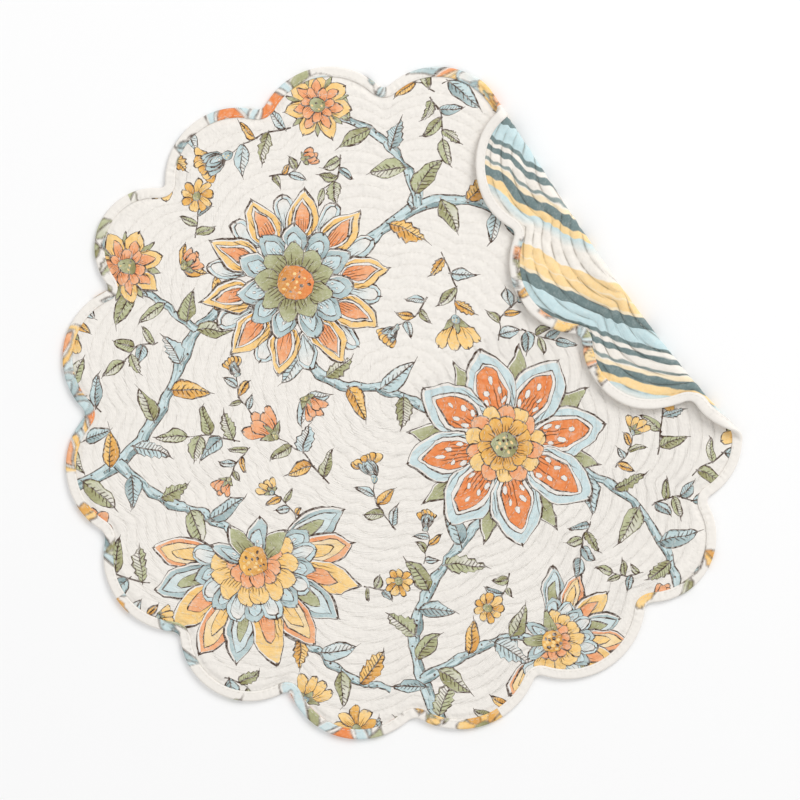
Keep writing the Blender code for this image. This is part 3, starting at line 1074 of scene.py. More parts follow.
@dataclass
class Print:
    """The cream floral cloth: where its dyes lie."""

    radius: float = 212.0
    grid: float = 4.0
    bough_leaf: float = 23.0
    least_room: float = 13.3  # bare ground narrower than this to either side stays bare
    wide_room: float = 15.0  # bare ground wider than this takes a spray
    most: int = 200
    patches: list[Patch] = field(init=False)

    def __post_init__(self) -> None:
        """Draws the whole cloth."""
        art = Motifs()
        self.patches = art.patches
        for number, bough in enumerate(BOUGHS):
            line = art.branch(bough.route, bough.width)
            art.stem(line, 0, bough.leaves, self.bough_leaf, number)
        art.bloom((-66, 74), 60, 10, Flower.DAHLIA)
        art.bloom((66, -28), 63, 12, Flower.ROSE)
        art.bloom((-92, -102), 66, -78, Flower.FAN)
        art.bloom((96, -152), 46, -20, Flower.FAN)
        art.bloom((-172, 84), 24, 120, Flower.STAR)
        art.bloom((-52, 186), 22, 90, Flower.STAR)
        self._fill_ground(art)

    def _fill_ground(self, art: Motifs) -> None:
        """Sets small motifs where the ground is barest, until no wide gap is left.

        Args:
            art: What draws them.
        """
        axis = np.arange(-self.radius, self.radius + 1, self.grid)
        spots = np.stack(np.meshgrid(axis, axis), -1).reshape(-1, 2)
        spots = spots[np.hypot(*spots.T) < self.radius]
        room = np.where(self.top_patch(spots) < 0, self.radius, 0.0)
        done = 0
        for number in range(self.most):
            for patch in art.patches[done:]:
                gaps = np.linalg.norm(spots[:, None] - patch.outline[None, ::2], axis=2)
                room = np.minimum(room, gaps.min(1))
            done = len(art.patches)
            best = int(room.argmax())
            size = room[best]
            if size < self.least_room:
                return
            self._small(art, number, spots[best], size)

    def _small(self, art: Motifs, number: int, place: Array, room: float) -> None:
        """A small motif to suit the room.

        Args:
            art: What draws it.
            number: Chooses the motif.
            place: Its middle.
            room: The bare ground to either side.
        """
        heading = art.rng.uniform(0, 360)
        dyes = LEAVES[number % len(LEAVES)]
        if room > self.wide_room:
            art.spray(place, heading, min(room, 30) * 1.35, number)
        elif number % 4 == 0:
            flower = (Flower.CORAL_DAISY, Flower.DAISY, Flower.BLUE_DAISY)[number // 4 % 3]
            art.bloom(place, room * 0.85, heading, flower)
        elif number % 4 == 1:
            size = room * 2.1
            art.leaf(place - direction(heading) * size / 2, heading, size, size * 0.45, dyes, 0.12, 5)
        elif number % 4 == 2:
            for side in (-1, 1):
                art.leaf(place, heading + side * 62, room * 1.1, room * 0.42, dyes, -0.12 * side)
            art.bloom(place, room * 0.8, heading, Flower.TULIP)
        else:
            art.spray(place, heading, room * 1.2, number)

    def top_patch(self, points: Array) -> Array:
        """Which patch shows at each point.

        Args:
            points: Flat points.

        Returns:
            The patches' numbers, or -1 for the bare ground.
        """
        order = np.argsort(points[:, 0])
        ranked = points[order]
        shown = np.full(len(points), -1)
        for number, patch in enumerate(self.patches):
            low, high = patch.outline.min(0), patch.outline.max(0)
            first, last = np.searchsorted(ranked[:, 0], (low[0], high[0]))
            level = ranked[first:last, 1]
            near = np.flatnonzero((level > low[1]) & (level < high[1])) + first
            if len(near):
                shown[order[near[patch.holds(ranked[near])]]] = number
        return shown

    def seen_lines(self, limit: float) -> list[Array]:
        """The stretches of the patches' outlines that no later patch covers.

        Args:
            limit: How far out to look.

        Returns:
            Open lines.
        """
        shown = self.top_patch(np.concatenate([patch.outline for patch in self.patches]))
        lines = []
        start = 0
        for number, patch in enumerate(self.patches):
            count = len(patch.outline)
            bare = (shown[start : start + count] <= number) & (np.hypot(*patch.outline.T) < limit)
            start += count
            keep = np.flatnonzero(bare | np.roll(bare, -1))
            for run in np.split(keep, np.flatnonzero(np.diff(keep) > 1) + 1):
                if len(run):
                    lines.append(patch.outline[np.append(run, run[-1] + 1) % count])
        return lines

    def paint(self, shown: Array, points: Array) -> dict[str, Array]:
        """What the finish reads at each point.

        Args:
            shown: The patch that shows at each point.
            points: Flat places on the print.

        Returns:
            dye, a linear colour with an alpha of 1; ink, 0 for bare ground, 0.5 for dye and 1 for
            ink; and pen, from Patch.pen_lines, or 0 where there are none.
        """
        dye = np.tile(np.append(linear(Dye.GROUND.value), 1.0), (len(points), 1))
        ink = np.zeros(len(points))
        pen = np.zeros((len(points), 3))
        order = np.argsort(shown, kind="stable")
        for group in np.split(order, np.flatnonzero(np.diff(shown[order])) + 1):
            number = shown[group[0]]
            if number < 0:
                continue
            patch = self.patches[number]
            dye[group, :3] = patch.colours(points[group])
            ink[group] = {Dye.GROUND: 0.0, Dye.INK: 1.0}.get(patch.near, 0.5)
            if patch.pen is not Pen.NONE:
                pen[group] = patch.pen_lines(points[group]) + [0, number * 7 % 97, 0]
        return {"dye": dye, "ink": ink, "pen": pen}


# ---- meshes


def give(mesh: bpy.types.Mesh, name: str, kind: str, domain: str, values: Array) -> None:
    """Stores values on a mesh for its material to read.

    Args:
        mesh: The mesh.
        name: The values' name.
        kind: Their type.
        domain: POINT or CORNER.
        values: One row for each.
    """
    layer = mesh.attributes.new(name, kind, domain)
    part = {"FLOAT": "value", "FLOAT_VECTOR": "vector", "FLOAT_COLOR": "color"}[kind]
    layer.data.foreach_set(part, np.ascontiguousarray(values, np.float32).ravel())


def add_piece(name: str, places: Array, faces: Array) -> Object:
    """Makes a mesh object of the part.

    Args:
        name: The piece's name.
        places: Its points, in millimetres.
        faces: Rows of point numbers.

    Returns:
        The new object, shaded smooth.
    """
    mesh = bpy.data.meshes.new(name)
    mesh.from_pydata((places * MM).tolist(), [], faces.tolist())
    mesh.shade_smooth()
    piece = bpy.data.objects.new(name, mesh)
    bpy.context.scene.collection.objects.link(piece)
    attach(piece, BODY)
    return piece


def triangulate(points: Array, lines: list[Array], merge: float) -> tuple[Array, Array]:
    """Triangles over flat points, whose edges follow the lines.

    Args:
        points: Single points.
        lines: Open lines, or closed ones that repeat their first point.
        merge: Points nearer than this become one.

    Returns:
        The points and the rows of three that make triangles, facing up.
    """
    edges = []
    start = len(points)
    for line in lines:
        edges.extend((i, i + 1) for i in range(start, start + len(line) - 1))
        start += len(line)
    everything = np.concatenate([points, *lines])
    made = delaunay_2d_cdt([Vector(row) for row in everything.tolist()], edges, [], 0, merge, False)
    return np.array([tuple(v) for v in made[0]]), np.array(made[2])


@dataclass
class PanelCut:
    """The flat points of a quilted panel."""

    outline: Outline
    fold: Fold
    quilt: Quilt
    inset: float = 1.3  # from the mat's edge, inside the binding
    row_step: float = 1.85
    arc_step: float = 2.4
    clear: float = 0.8  # how far the field's points keep from the print's lines
    bend_step: float = 0.8
    bend_reach: float = 152.0
    lining_step: float = 9.0
    lining_bend_step: float = 4.0
    rim_insets: tuple[float, ...] = (3.2, 5.2, 7.2, 8.8, 10.6, 12.4)
    lining_rim_insets: tuple[float, ...] = (7.2, 10.6)
    near_rim: float = 12.0  # points further in than this need no test
    rim_count: int = 900
    lining_rim_count: int = 500
    edge_count: int = 1500

    def edge(self) -> Array:
        """The panel's own edge."""
        angle = np.linspace(0, math.tau, self.edge_count, endpoint=False)
        return self.outline.edge_point(angle, self.inset)

    def _rings(self, start: float, row_step: float, arc_step: float) -> list[Array]:
        """Rows of points that echo the edge, from this far in to the middle.

        Args:
            start: The first row's inset.
            row_step: From row to row.
            arc_step: Along a row.

        Returns:
            The rows.
        """
        rings = []
        for number, inset in enumerate(np.arange(start, self.outline.crown_radius, row_step)):
            count = max(int(math.tau * (self.outline.crown_radius - inset) / arc_step), 3)
            angle = (np.arange(count) + number % 2 / 2) / count * math.tau
            rings.append(self.outline.echo_point(angle, inset))
        return rings

    def _bend_points(self, along_step: float) -> Array:
        """Closer rows where the cloth turns over.

        Args:
            along_step: From point to point along a row.

        Returns:
            Flat points.
        """
        run = np.arange(-self.bend_step * 2, self.fold.bend_length + self.bend_step * 3, self.bend_step)
        along = np.arange(-self.bend_reach, self.bend_reach, along_step)
        grid = np.meshgrid(along, run)
        return self.fold.flat_place(grid[0].ravel(), grid[1].ravel())

    def _rim(self, insets: Sequence[float], count: int) -> list[Array]:
        """Rings of points beside the edge."""
        angle = np.linspace(0, math.tau, count, endpoint=False)
        return [self.outline.edge_point(angle, inset) for inset in insets]

    def outer_points(self) -> Array:
        """The points inside the outer face.

        Returns:
            Flat points.
        """
        points = np.concatenate([*self._rim(self.rim_insets, self.rim_count),
                                 *self._rings(self.quilt.start, self.row_step, self.arc_step),
                                 self._bend_points(self.arc_step)])
        return points[self._inside(points, 0.4)]

    def lining_points(self) -> Array:
        """The points inside the hidden face.

        Returns:
            Flat points.
        """
        points = np.concatenate([*self._rim(self.lining_rim_insets, self.lining_rim_count),
                                 *self._rings(self.quilt.start, self.lining_step, self.lining_step),
                                 self._bend_points(self.lining_bend_step)])
        return points[self._inside(points, 0.6)]

    def _inside(self, points: Array, margin: float = 0.0) -> Array:
        """Which points lie inside the panel's edge by this margin.

        Args:
            points: Flat points.
            margin: How far inside.

        Returns:
            A mask.
        """
        angle = np.arctan2(points[:, 1], points[:, 0])
        near = np.hypot(points[:, 0], points[:, 1]) > self.outline.edge_radius(angle) - self.near_rim
        inside = np.ones(len(points), bool)
        inset = self.outline.edge_inset(points[near], 6.0)
        beyond = np.hypot(*points[near].T) > self.outline.edge_radius(angle[near])
        inside[near] = (inset > self.inset + margin) & ~beyond
        return inside

    def _apart(self, points: Array, lines: list[Array]) -> Array:
        """The points that stand clear of the lines' own points.

        Args:
            points: Flat points.
            lines: The lines.

        Returns:
            Those points.
        """
        if not lines:
            return points
        tree = search_tree(np.concatenate(lines))
        return points[[tree.find((x, y, 0))[2] > self.clear for x, y in points]]

    @staticmethod
    def _within(points: Array, edge: Array) -> Array:
        """Which points lie inside a ring of points that goes once round the middle.

        Args:
            points: Flat points.
            edge: The ring.

        Returns:
            A mask.
        """
        angles = np.arctan2(edge[:, 1], edge[:, 0])
        ranked = edge[np.argsort(angles)]
        after = np.searchsorted(np.sort(angles), np.arctan2(points[:, 1], points[:, 0])) % len(edge)
        start, side = ranked[after - 1], ranked[after] - ranked[after - 1]
        reach = points - start
        return side[:, 0] * reach[:, 1] - side[:, 1] * reach[:, 0] > 0

    def cut(self, field_points: Array, lines: list[Array], edge: Array, merge: float) -> tuple[Array, Array]:
        """Triangles inside the panel's edge, with fewer field points beside the lines.

        Args:
            field_points: Single points.
            lines: Lines that the triangles' edges follow.
            edge: The panel's edge.
            merge: Points nearer than this become one.

        Returns:
            The points and the triangles.
        """
        field_points = self._apart(field_points, lines)
        points, faces = triangulate(field_points, [np.concatenate([edge, edge[:1]]), *lines], merge)
        faces = faces[self._within(points[faces].mean(1), edge)]
        used = np.unique(faces)
        place = np.full(len(points), -1)
        place[used] = np.arange(len(used))
        return points[used], place[faces]


@dataclass
class Panel:
    """One quilted panel: a fine outer face, a plain hidden face and the narrow wall between."""

    cut: PanelCut
    outer_height: Heights
    lining_height: Heights
    faces_up: bool
    normal_step: float = 0.15
    map_share: float = 0.94  # of the picture that the outer face takes when it is mapped
    map_room: float = 1.04  # the mapped square, over the flat mat
    merge: float = 0.03  # flat points nearer than this become one
    lining_merge: float = 0.00001

    def _normals(self, flat: Array, height: Heights) -> Array:
        """The folded face's upward normal at each flat point.

        Args:
            flat: Flat points.
            height: The face's height.

        Returns:
            Unit vectors.
        """
        step = self.normal_step
        sides = []
        for shift in ((step, 0), (-step, 0), (0, step), (0, -step)):
            moved = flat + shift
            sides.append(self.cut.fold.lay(np.column_stack([moved, height(moved)])))
        normal = np.cross(sides[0] - sides[1], sides[2] - sides[3])
        return normal / np.linalg.norm(normal, axis=1, keepdims=True)

    def build(self, name: str, slot: str, lines: list[Array]) -> tuple[Object, Array, Array]:
        """Makes the panel.

        Args:
            name: The piece's name.
            slot: The name of its finish; not used.
            lines: Flat lines that the outer face's edges follow.

        Returns:
            The object, its outer face's flat points and that face's triangles, which come first.
        """
        flat, outer = self.cut.cut(self.cut.outer_points(), lines, self.cut.edge(), self.merge)
        ring = self._edge_ring(outer, flat)
        inner_flat, inner = self.cut.cut(self.cut.lining_points(), [], flat[ring], self.lining_merge)
        inner_ring = self._edge_ring(inner, inner_flat)
        shift = len(flat)
        after, inner_after = np.roll(ring, -1), np.roll(inner_ring, -1) + shift
        wall = np.concatenate([
            np.column_stack([ring, inner_ring + shift, after]),
            np.column_stack([after, inner_ring + shift, inner_after]),
        ])
        faces = np.concatenate([outer, wall, inner[:, ::-1] + shift])
        if not self.faces_up:
            faces = faces[:, ::-1]
            outer = outer[:, ::-1]
        flats = np.concatenate([flat, inner_flat])
        heights = np.concatenate([self.outer_height(flat), self.lining_height(inner_flat)])
        piece = add_piece(name, self.cut.fold.lay(np.column_stack([flats, heights])), faces)
        self._shade(piece, flat, inner_flat, faces, len(outer), len(wall))
        self._note(piece, flats, faces, len(outer))
        return piece, flat, outer

    @staticmethod
    def _edge_ring(faces: Array, flat: Array) -> Array:
        """The points on a face's open edge, anticlockwise.

        Args:
            faces: Triangles.
            flat: Their points.

        Returns:
            The points' numbers.
        """
        edges = np.concatenate([faces[:, [0, 1]], faces[:, [1, 2]], faces[:, [2, 0]]])
        keys = np.sort(edges, axis=1) @ np.array([len(flat), 1])
        _, first, count = np.unique(keys, return_index=True, return_counts=True)
        ring = np.unique(edges[first[count == 1]])
        return ring[np.argsort(np.arctan2(flat[ring, 1], flat[ring, 0]))]

    def _shade(self, piece: Object, flat: Array, inner_flat: Array,
               faces: Array, outer_count: int, wall_count: int) -> None:
        """Gives each corner the true surface's normal, so that no triangle shows.

        Args:
            piece: The panel.
            flat: The outer face's points.
            inner_flat: The hidden face's.
            faces: All triangles.
            outer_count: How many are the outer face's.
            wall_count: How many come next, in the wall.
        """
        up = 1 if self.faces_up else -1
        normals = np.concatenate([
            self._normals(flat, self.outer_height) * up,
            self._normals(inner_flat, self.lining_height) * -up,
        ])
        corners = normals[faces.ravel()]
        own = np.empty((len(piece.data.polygons), 3), np.float32)
        piece.data.polygons.foreach_get("normal", own.ravel())
        wall = slice(outer_count * 3, (outer_count + wall_count) * 3)
        corners[wall] = np.repeat(own[outer_count : outer_count + wall_count], 3, axis=0)
        piece.data.normals_split_custom_set(corners.tolist())

    def _note(self, piece: Object, flats: Array, faces: Array, outer_count: int) -> None:
        """Stores what the materials read, and a map of the cloth named OFBake.

        Args:
            piece: The panel.
            flats: All flat points.
            faces: All triangles.
            outer_count: How many are the outer face's.
        """
        row = self.cut.quilt.row(flats)[faces]
        away = np.radians(self.cut.fold.normal_deg)
        angle = (np.arctan2(flats[:, 1], flats[:, 0]) - away)[faces] % math.tau
        angle = np.where(angle < angle.max(1, keepdims=True) - math.pi, angle + math.tau, angle)
        arc = angle * (self.cut.outline.crown_radius - np.maximum(row, 0) * self.cut.quilt.pitch)
        quilt = np.stack([arc, row, np.zeros(row.shape)], -1)
        give(piece.data, "flat", "FLOAT_VECTOR", "POINT", np.column_stack([flats, np.zeros(len(flats))]))
        give(piece.data, "quilt", "FLOAT_VECTOR", "CORNER", quilt)
        share = flats[faces.ravel()] / (FLAT_SIZE * self.map_room) + 0.5
        share[: outer_count * 3] *= self.map_share
        rest, hidden = 1 - self.map_share, share[outer_count * 3 :]
        hidden[:] = hidden * rest * (1 - 2 * MAP_GAP) + self.map_share + rest * MAP_GAP
        layer = piece.data.uv_layers.new(name="OFBake")
        layer.data.foreach_set("uv", share.astype(np.float32).ravel())


PRINT_LAYERS = {"dye": "FLOAT_COLOR", "ink": "FLOAT", "pen": "FLOAT_VECTOR"}


@dataclass
class Cloth:
    """What the pieces share: the outline, the fold, the quilting and the print."""

    outline: Outline
    fold: Fold
    quilt: Quilt
    design: Print


@dataclass
class FrontPanel:
    """The floral front."""

    cloth: Cloth
    margin: float = 4.0  # how far past the edge the print is followed

    def build(self) -> Object:
        """Makes the front panel and prints it.

        Returns:
            The panel.
        """
        quilt, design = self.cloth.quilt, self.cloth.design
        cut = PanelCut(self.cloth.outline, self.cloth.fold, quilt)
        panel = Panel(cut, quilt.front, quilt.front_lining, True)
        lines = design.seen_lines(self.cloth.outline.crown_radius + self.margin)
        piece, flat, outer = panel.build("front_cloth", "floral_print", lines)
        shown = design.top_patch(flat[outer].mean(1))
        painted = design.paint(np.repeat(shown, 3), flat[outer.ravel()])
        bare = design.paint(np.array([-1]), np.zeros((1, 2)))
        rest = len(piece.data.loops) - outer.size
        for key, values in painted.items():
            hidden = np.repeat(bare[key], rest, axis=0)
            give(piece.data, key, PRINT_LAYERS[key], "CORNER", np.concatenate([values, hidden]))
        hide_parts("front_panel")
        return piece


class Stripe(NamedTuple):
    """One stripe of the reverse: its width and colour, and the colour that it fades to."""

    width: float
    colour: Colour
    fades_to: Colour | None = None


LIGHT_BLUE = (201, 223, 226)
TEAL = (119, 137, 137)
GREY_TEAL = (146, 159, 156)
CREAM = (243, 237, 228)
YELLOW = (250, 217, 160)
PALE_YELLOW = (248, 230, 198)

STRIPES = (
    Stripe(9.6, LIGHT_BLUE),
    Stripe(2.6, TEAL),
    Stripe(2.4, CREAM),
    Stripe(3.7, TEAL),
    Stripe(4.5, CREAM),
    Stripe(1.9, GREY_TEAL),
    Stripe(0.8, CREAM),
    Stripe(2.4, PALE_YELLOW),
    Stripe(6.0, TEAL),
    Stripe(4.6, YELLOW),
    Stripe(6.8, LIGHT_BLUE, CREAM),
    Stripe(11.6, CREAM),
    Stripe(7.6, YELLOW),
    Stripe(0.8, PALE_YELLOW),
    Stripe(5.4, YELLOW),
    Stripe(2.0, PALE_YELLOW),
    Stripe(6.6, TEAL),
)

STRIPE_SOFTNESS = 0.25  # how far each stripe's edge is blurred

# heights on the flat mat, and how far aside the stripes are pulled there
PULLS = (
    (-220, 0.0), (-40, -0.6), (13, -2.5), (45, -0.4), (116, 0.8), (127, -1.1),
    (152, -2.4), (158, -3.4), (166, -6.8), (183, -8.6), (220, -8.6),
)


@dataclass
class BackPanel:
    """The striped reverse."""

    cloth: Cloth
    stripe_start: float = 162.0  # where a light blue stripe starts, towards +X

    def build(self) -> Object:
        """Makes the back panel and lays its stripes.

        Returns:
            The panel.
        """
        quilt = self.cloth.quilt
        cut = PanelCut(self.cloth.outline, self.cloth.fold, quilt, row_step=1.48, arc_step=2.0)
        panel = Panel(cut, quilt.back, quilt.back_lining, False)
        piece, _, _ = panel.build("back_cloth", "striped_cloth", [])
        flats = np.empty(len(piece.data.vertices) * 3, np.float32)
        piece.data.attributes["flat"].data.foreach_get("vector", flats)
        place = self._stripe_place(flats.reshape(-1, 3)[:, :2].astype(float))
        give(piece.data, "stripe", "FLOAT", "POINT", place)
        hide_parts("back_panel")
        return piece

    def _stripe_place(self, flat: Array) -> Array:
        """Each point's place across the stripes, in repeats.

        Args:
            flat: Flat points.

        Returns:
            Whole at the start of each repeat.
        """
        period = sum(stripe.width for stripe in STRIPES)
        aside = np.interp(flat[:, 1], *np.array(PULLS, float).T)
        row = self.cloth.quilt.row(flat)
        drawn = 0.5 * np.sin(math.tau * row) + 0.4 * ripple(flat, 9, 41) + 0.6 * ripple(flat, 30, 42)
        return (flat[:, 0] - aside + drawn - self.stripe_start) / period


Section = Sequence[tuple[float, float, float]]  # inset, height and how much it is tucked


@dataclass
class Binding:
    """The bias strip over the edge, cut from the print."""

    cloth: Cloth
    width: float = 6.4
    thickness: float = 0.6
    top: float = 3.1
    inside_top: float = 2.5
    inner_nose: float = 1.0
    columns: int = 2400
    nose: float = 1.2  # how far in the rounded edge starts
    crown: float = 0.12  # how far the top falls towards that edge
    pressed: Section = ((0.0, 0.42, 0.6), (0.25, 0.2, 0.9))  # out from the inner edge, down, tucked
    blur: float = 0.35  # half the width over which each point's dye is evened out
    cut_angle: float = 45.0
    asides: tuple[float, ...] = (-222, -30, 66, -118, 214)  # where on the print each length is cut
    tuck_start: float = 0.6  # how far in the tucks start, and the run over which they rise
    tuck_run: float = 2.0
    tuck: float = 0.07
    notch_tuck: float = 0.2
    notch_reach: float = 13.0  # how far from a notch the deeper tucks run
    map_gap: float = 0.01

    def build(self) -> Object:
        """Makes the strip and prints it.

        Returns:
            The strip.
        """
        outline, fold = self.cloth.outline, self.cloth.fold
        angle = self._even_angles()
        section = self._section()
        rows = []
        for inset, height, tucked in section:
            flat = outline.edge_point(angle, inset)
            ease = smooth((inset - self.tuck_start) / self.tuck_run) * tucked
            rows.append(np.column_stack([flat, height + ease * self._gathers(angle, inset)]))
        count = len(rows)
        places = fold.lay(np.concatenate(rows))
        column = np.arange(self.columns)
        after = np.roll(column, -1)
        faces = np.concatenate([
            np.column_stack([
                column + i * self.columns, after + i * self.columns,
                after + (i + 1) % count * self.columns, column + (i + 1) % count * self.columns,
            ])
            for i in range(count)
        ])[:, ::-1]
        piece = add_piece("edge_binding", places, faces)
        self._print(piece, section)
        self._map(piece, faces, count)
        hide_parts("binding")
        return piece

    def _even_angles(self) -> Array:
        """Angles at even steps along the edge.

        Returns:
            One for each column.
        """
        fine = np.linspace(0, math.tau, 20001)
        edge = self.cloth.outline.edge_point(fine, 3.0)
        length = np.append(0, np.cumsum(np.linalg.norm(np.diff(edge, axis=0), axis=1)))
        return np.interp(np.arange(self.columns) / self.columns * length[-1], length, fine)

    def _section(self) -> Section:
        """The strip's section, once round.

        Returns:
            Insets, heights and how much each is tucked.
        """
        insets = np.linspace(self.width, self.nose, 10)[1:]
        pressed = [(self.width - out, self.top - down, tucked) for out, down, tucked in self.pressed]
        top = [(inset, self.top - self.crown * (1 - inset / self.width) ** 2, 1.0) for inset in insets]
        nose = [
            (self.nose - self.nose * math.sin(turn), self.top / 2 + self.top / 2 * math.cos(turn), 0.0)
            for turn in np.radians((30, 60, 90, 120, 150))
        ]
        under = [(inset, 0.0, 0.0) for inset in (self.nose, 3.0, 5.0, self.width)]
        inner = [
            (self.width, self.thickness, 0.0), (self.inner_nose, self.thickness, 0.0),
            (self.thickness, self.top / 2, 0.0), (self.inner_nose, self.inside_top, 0.0),
            (self.width, self.inside_top, 0.0),
        ]
        return [*pressed, *top, *nose, *under, *inner]

    def _gathers(self, angle: Array, inset: float) -> Array:
        """Small tucks across the strip, deeper towards the notches.

        Args:
            angle: Where round the edge.
            inset: How far in.

        Returns:
            Heights.
        """
        radius = self.cloth.outline.crown_radius
        notches = np.append(self.cloth.outline.notches, self.cloth.outline.notches[0] + math.tau)
        around = notches[0] + (angle - notches[0]) % math.tau
        nearest = np.abs(around[:, None] - notches[None, :]).min(1) * radius
        depth = self.tuck + self.notch_tuck * np.exp(-((nearest / self.notch_reach) ** 2))
        arc = np.column_stack([angle * radius, np.full(len(angle), inset * 0.35)])
        return depth * ripple(arc, 3.4, 51)

    def _print(self, piece: Object, section: Section) -> None:
        """Takes each point's dye from its own place on the print, cut on the bias.

        Args:
            piece: The strip.
            section: From _section.
        """
        length = math.tau * self.cloth.outline.crown_radius
        along = np.arange(self.columns) / self.columns * length
        joins = len(self.asides)
        number = np.floor(along / length * joins)
        run = along - (number + 0.5) * length / joins
        across = np.append(0, np.cumsum([
            math.hypot(b[0] - a[0], b[1] - a[1]) for a, b in zip(section, section[1:])
        ]))
        aside = np.array(self.asides)[number.astype(int)] + across[:, None]
        spots = (run[:, None] * direction(self.cut_angle)
                 + aside[..., None] * direction(self.cut_angle + 90)).reshape(-1, 2)
        near = [spots + [x * self.blur, y * self.blur] for x in (-1, 1) for y in (-1, 1)]
        painted = [self.cloth.design.paint(self.cloth.design.top_patch(spot), spot) for spot in near]
        for key in ("dye", "ink"):
            even = np.mean([paint[key] for paint in painted], axis=0)
            give(piece.data, key, PRINT_LAYERS[key], "POINT", even)
        give(piece.data, "flat", "FLOAT_VECTOR", "POINT", np.column_stack([spots, np.zeros(len(spots))]))

    def _map(self, piece: Object, faces: Array, count: int) -> None:
        """Maps the strip in sixteen rows.

        Args:
            piece: The strip.
            faces: Its faces.
            count: Points in its section.
        """
        rows = len(SCALLOPS)
        per_row = self.columns // rows
        column = faces % self.columns
        ring = faces // self.columns
        first = np.minimum(column.min(1), column.max(1))
        first = np.where(column.max(1) - first > 1, self.columns - 1, first)
        local = (column - first[:, None]) % self.columns
        lower = np.where(ring.max(1) - ring.min(1) > 1, count - 1, ring.min(1))
        up = (ring - lower[:, None]) % count
        u = ((first % per_row)[:, None] + local) / per_row
        v = ((first // per_row)[:, None] + (lower[:, None] + up) / count * (1 - 2 * MAP_GAP) + MAP_GAP) / rows
        layer = piece.data.uv_layers.new(name="OFBake")
        u = u * (1 - 2 * self.map_gap) + self.map_gap
        layer.data.foreach_set("uv", np.stack([u, v], -1).astype(np.float32).ravel())


@dataclass
class Stitching:
    """The quilting thread and the row that holds the binding."""

    cloth: Cloth
    pitch: float = 3.3
    length: float = 2.7
    thread: float = 0.24
    sunk: float = 0.12
    edge_inset: float = 5.1
    binding_top: float = 3.1
    stagger: float = 0.37  # from row to row, in stitches
    middle: float = 4.0  # no row comes nearer to the middle
    samples: int = 3001
    edge_samples: int = 4001

    def build(self) -> list[Object]:
        """Makes the stitches of both faces and of both sides of the binding.

        Returns:
            The four pieces.
        """
        quilt = self.cloth.quilt
        rows = self._quilt_rows()
        front = self._row_object("front_quilting", rows, quilt.front, 1)
        back = self._row_object("back_quilting", rows, quilt.back, -1)
        edge = [self.cloth.outline.edge_point(np.linspace(0, math.tau, self.edge_samples), self.edge_inset)]
        top = self.binding_top
        upper = self._row_object("edge_stitching_front", edge, lambda flat: np.full(len(flat), top), 1)
        lower = self._row_object("edge_stitching_back", edge, lambda flat: np.zeros(len(flat)), -1)
        return [front, back, upper, lower]

    def _quilt_rows(self) -> list[Array]:
        """The stitched lines, from the edge to the middle.

        Returns:
            Flat lines.
        """
        quilt, outline = self.cloth.quilt, self.cloth.outline
        insets = np.arange(quilt.start + quilt.pitch / 2, outline.crown_radius - self.middle, quilt.pitch)
        angle = np.linspace(0, math.tau, self.samples)
        return [outline.echo_point(angle, inset) for inset in insets]

    def _row_object(self, name: str, rows: list[Array], height: Heights,
                    side: int) -> Object:
        """All the stitches of some rows as one mesh.

        Args:
            name: The piece's name.
            rows: Flat lines that the stitches follow.
            height: The cloth's height at flat points.
            side: 1 for a face that looks up while the mat is flat, -1 for one that looks down.

        Returns:
            The new object.
        """
        starts, finishes = [], []
        for number, line in enumerate(rows):
            length = np.append(0, np.cumsum(np.linalg.norm(np.diff(line, axis=0), axis=1)))
            count = max(int(length[-1] / self.pitch), 3)
            begin = (np.arange(count) + (number * self.stagger) % 1) / count * length[-1]
            for end in (begin, begin + self.length):
                at = end % length[-1]
                spot = np.column_stack([np.interp(at, length, axis) for axis in line.T])
                (starts if end is begin else finishes).append(spot)
        start = np.concatenate(starts)
        run = np.concatenate(finishes) - start
        aside = np.stack([-run[:, 1], run[:, 0]], 1) / np.linalg.norm(run, axis=1, keepdims=True)
        rings = []
        half = self.thread / 2
        for share, wide in ((0, False), (0.25, True), (0.75, True), (1, False)):
            middle = start + run * share
            level = height(middle) + side * (half * 0.5 if wide else -self.sunk)
            if not wide:
                rings.append(np.column_stack([middle, level])[:, None])
                continue
            corners = [(-half, 0), (0, -half), (half, 0), (0, half)]
            ring = [np.column_stack([middle + aside * x, level + side * z]) for x, z in corners]
            rings.append(np.stack(ring, 1))
        points = np.concatenate(rings, 1)
        per = points.shape[1]
        faces = []
        for k in range(4):
            n = (k + 1) % 4
            faces += [(0, 1 + n, 1 + k), (1 + k, 1 + n, 5 + n), (1 + k, 5 + n, 5 + k), (5 + k, 5 + n, 9)]
        faces = np.array(faces)
        if side < 0:
            faces = faces[:, ::-1]
        everything = (faces[None] + np.arange(len(points))[:, None, None] * per).reshape(-1, 3)
        places = self.cloth.fold.lay(points.reshape(-1, 3))
        return add_piece(name, places, everything)


# ---- finishes


class Spots(NamedTuple):
    """Noise of one size: how wide its spots are, how much it counts and how it is stretched."""

    size: float
    share: float
    stretch: tuple[float, float, float] = (1, 1, 1)


DYE_SPOTS = (Spots(5.0, 1.0), Spots(1.3, 0.9), Spots(2.2, 0.6, (0.3, 1, 1)))
CREASES = (Spots(6.0, 0.9, (1, 0.6, 1)), Spots(10.0, 1.1, (0.5, 1, 1)), Spots(2.0, 0.4))
SEAM_SHADOW = (0.33, 0.30, 0.26, 1)


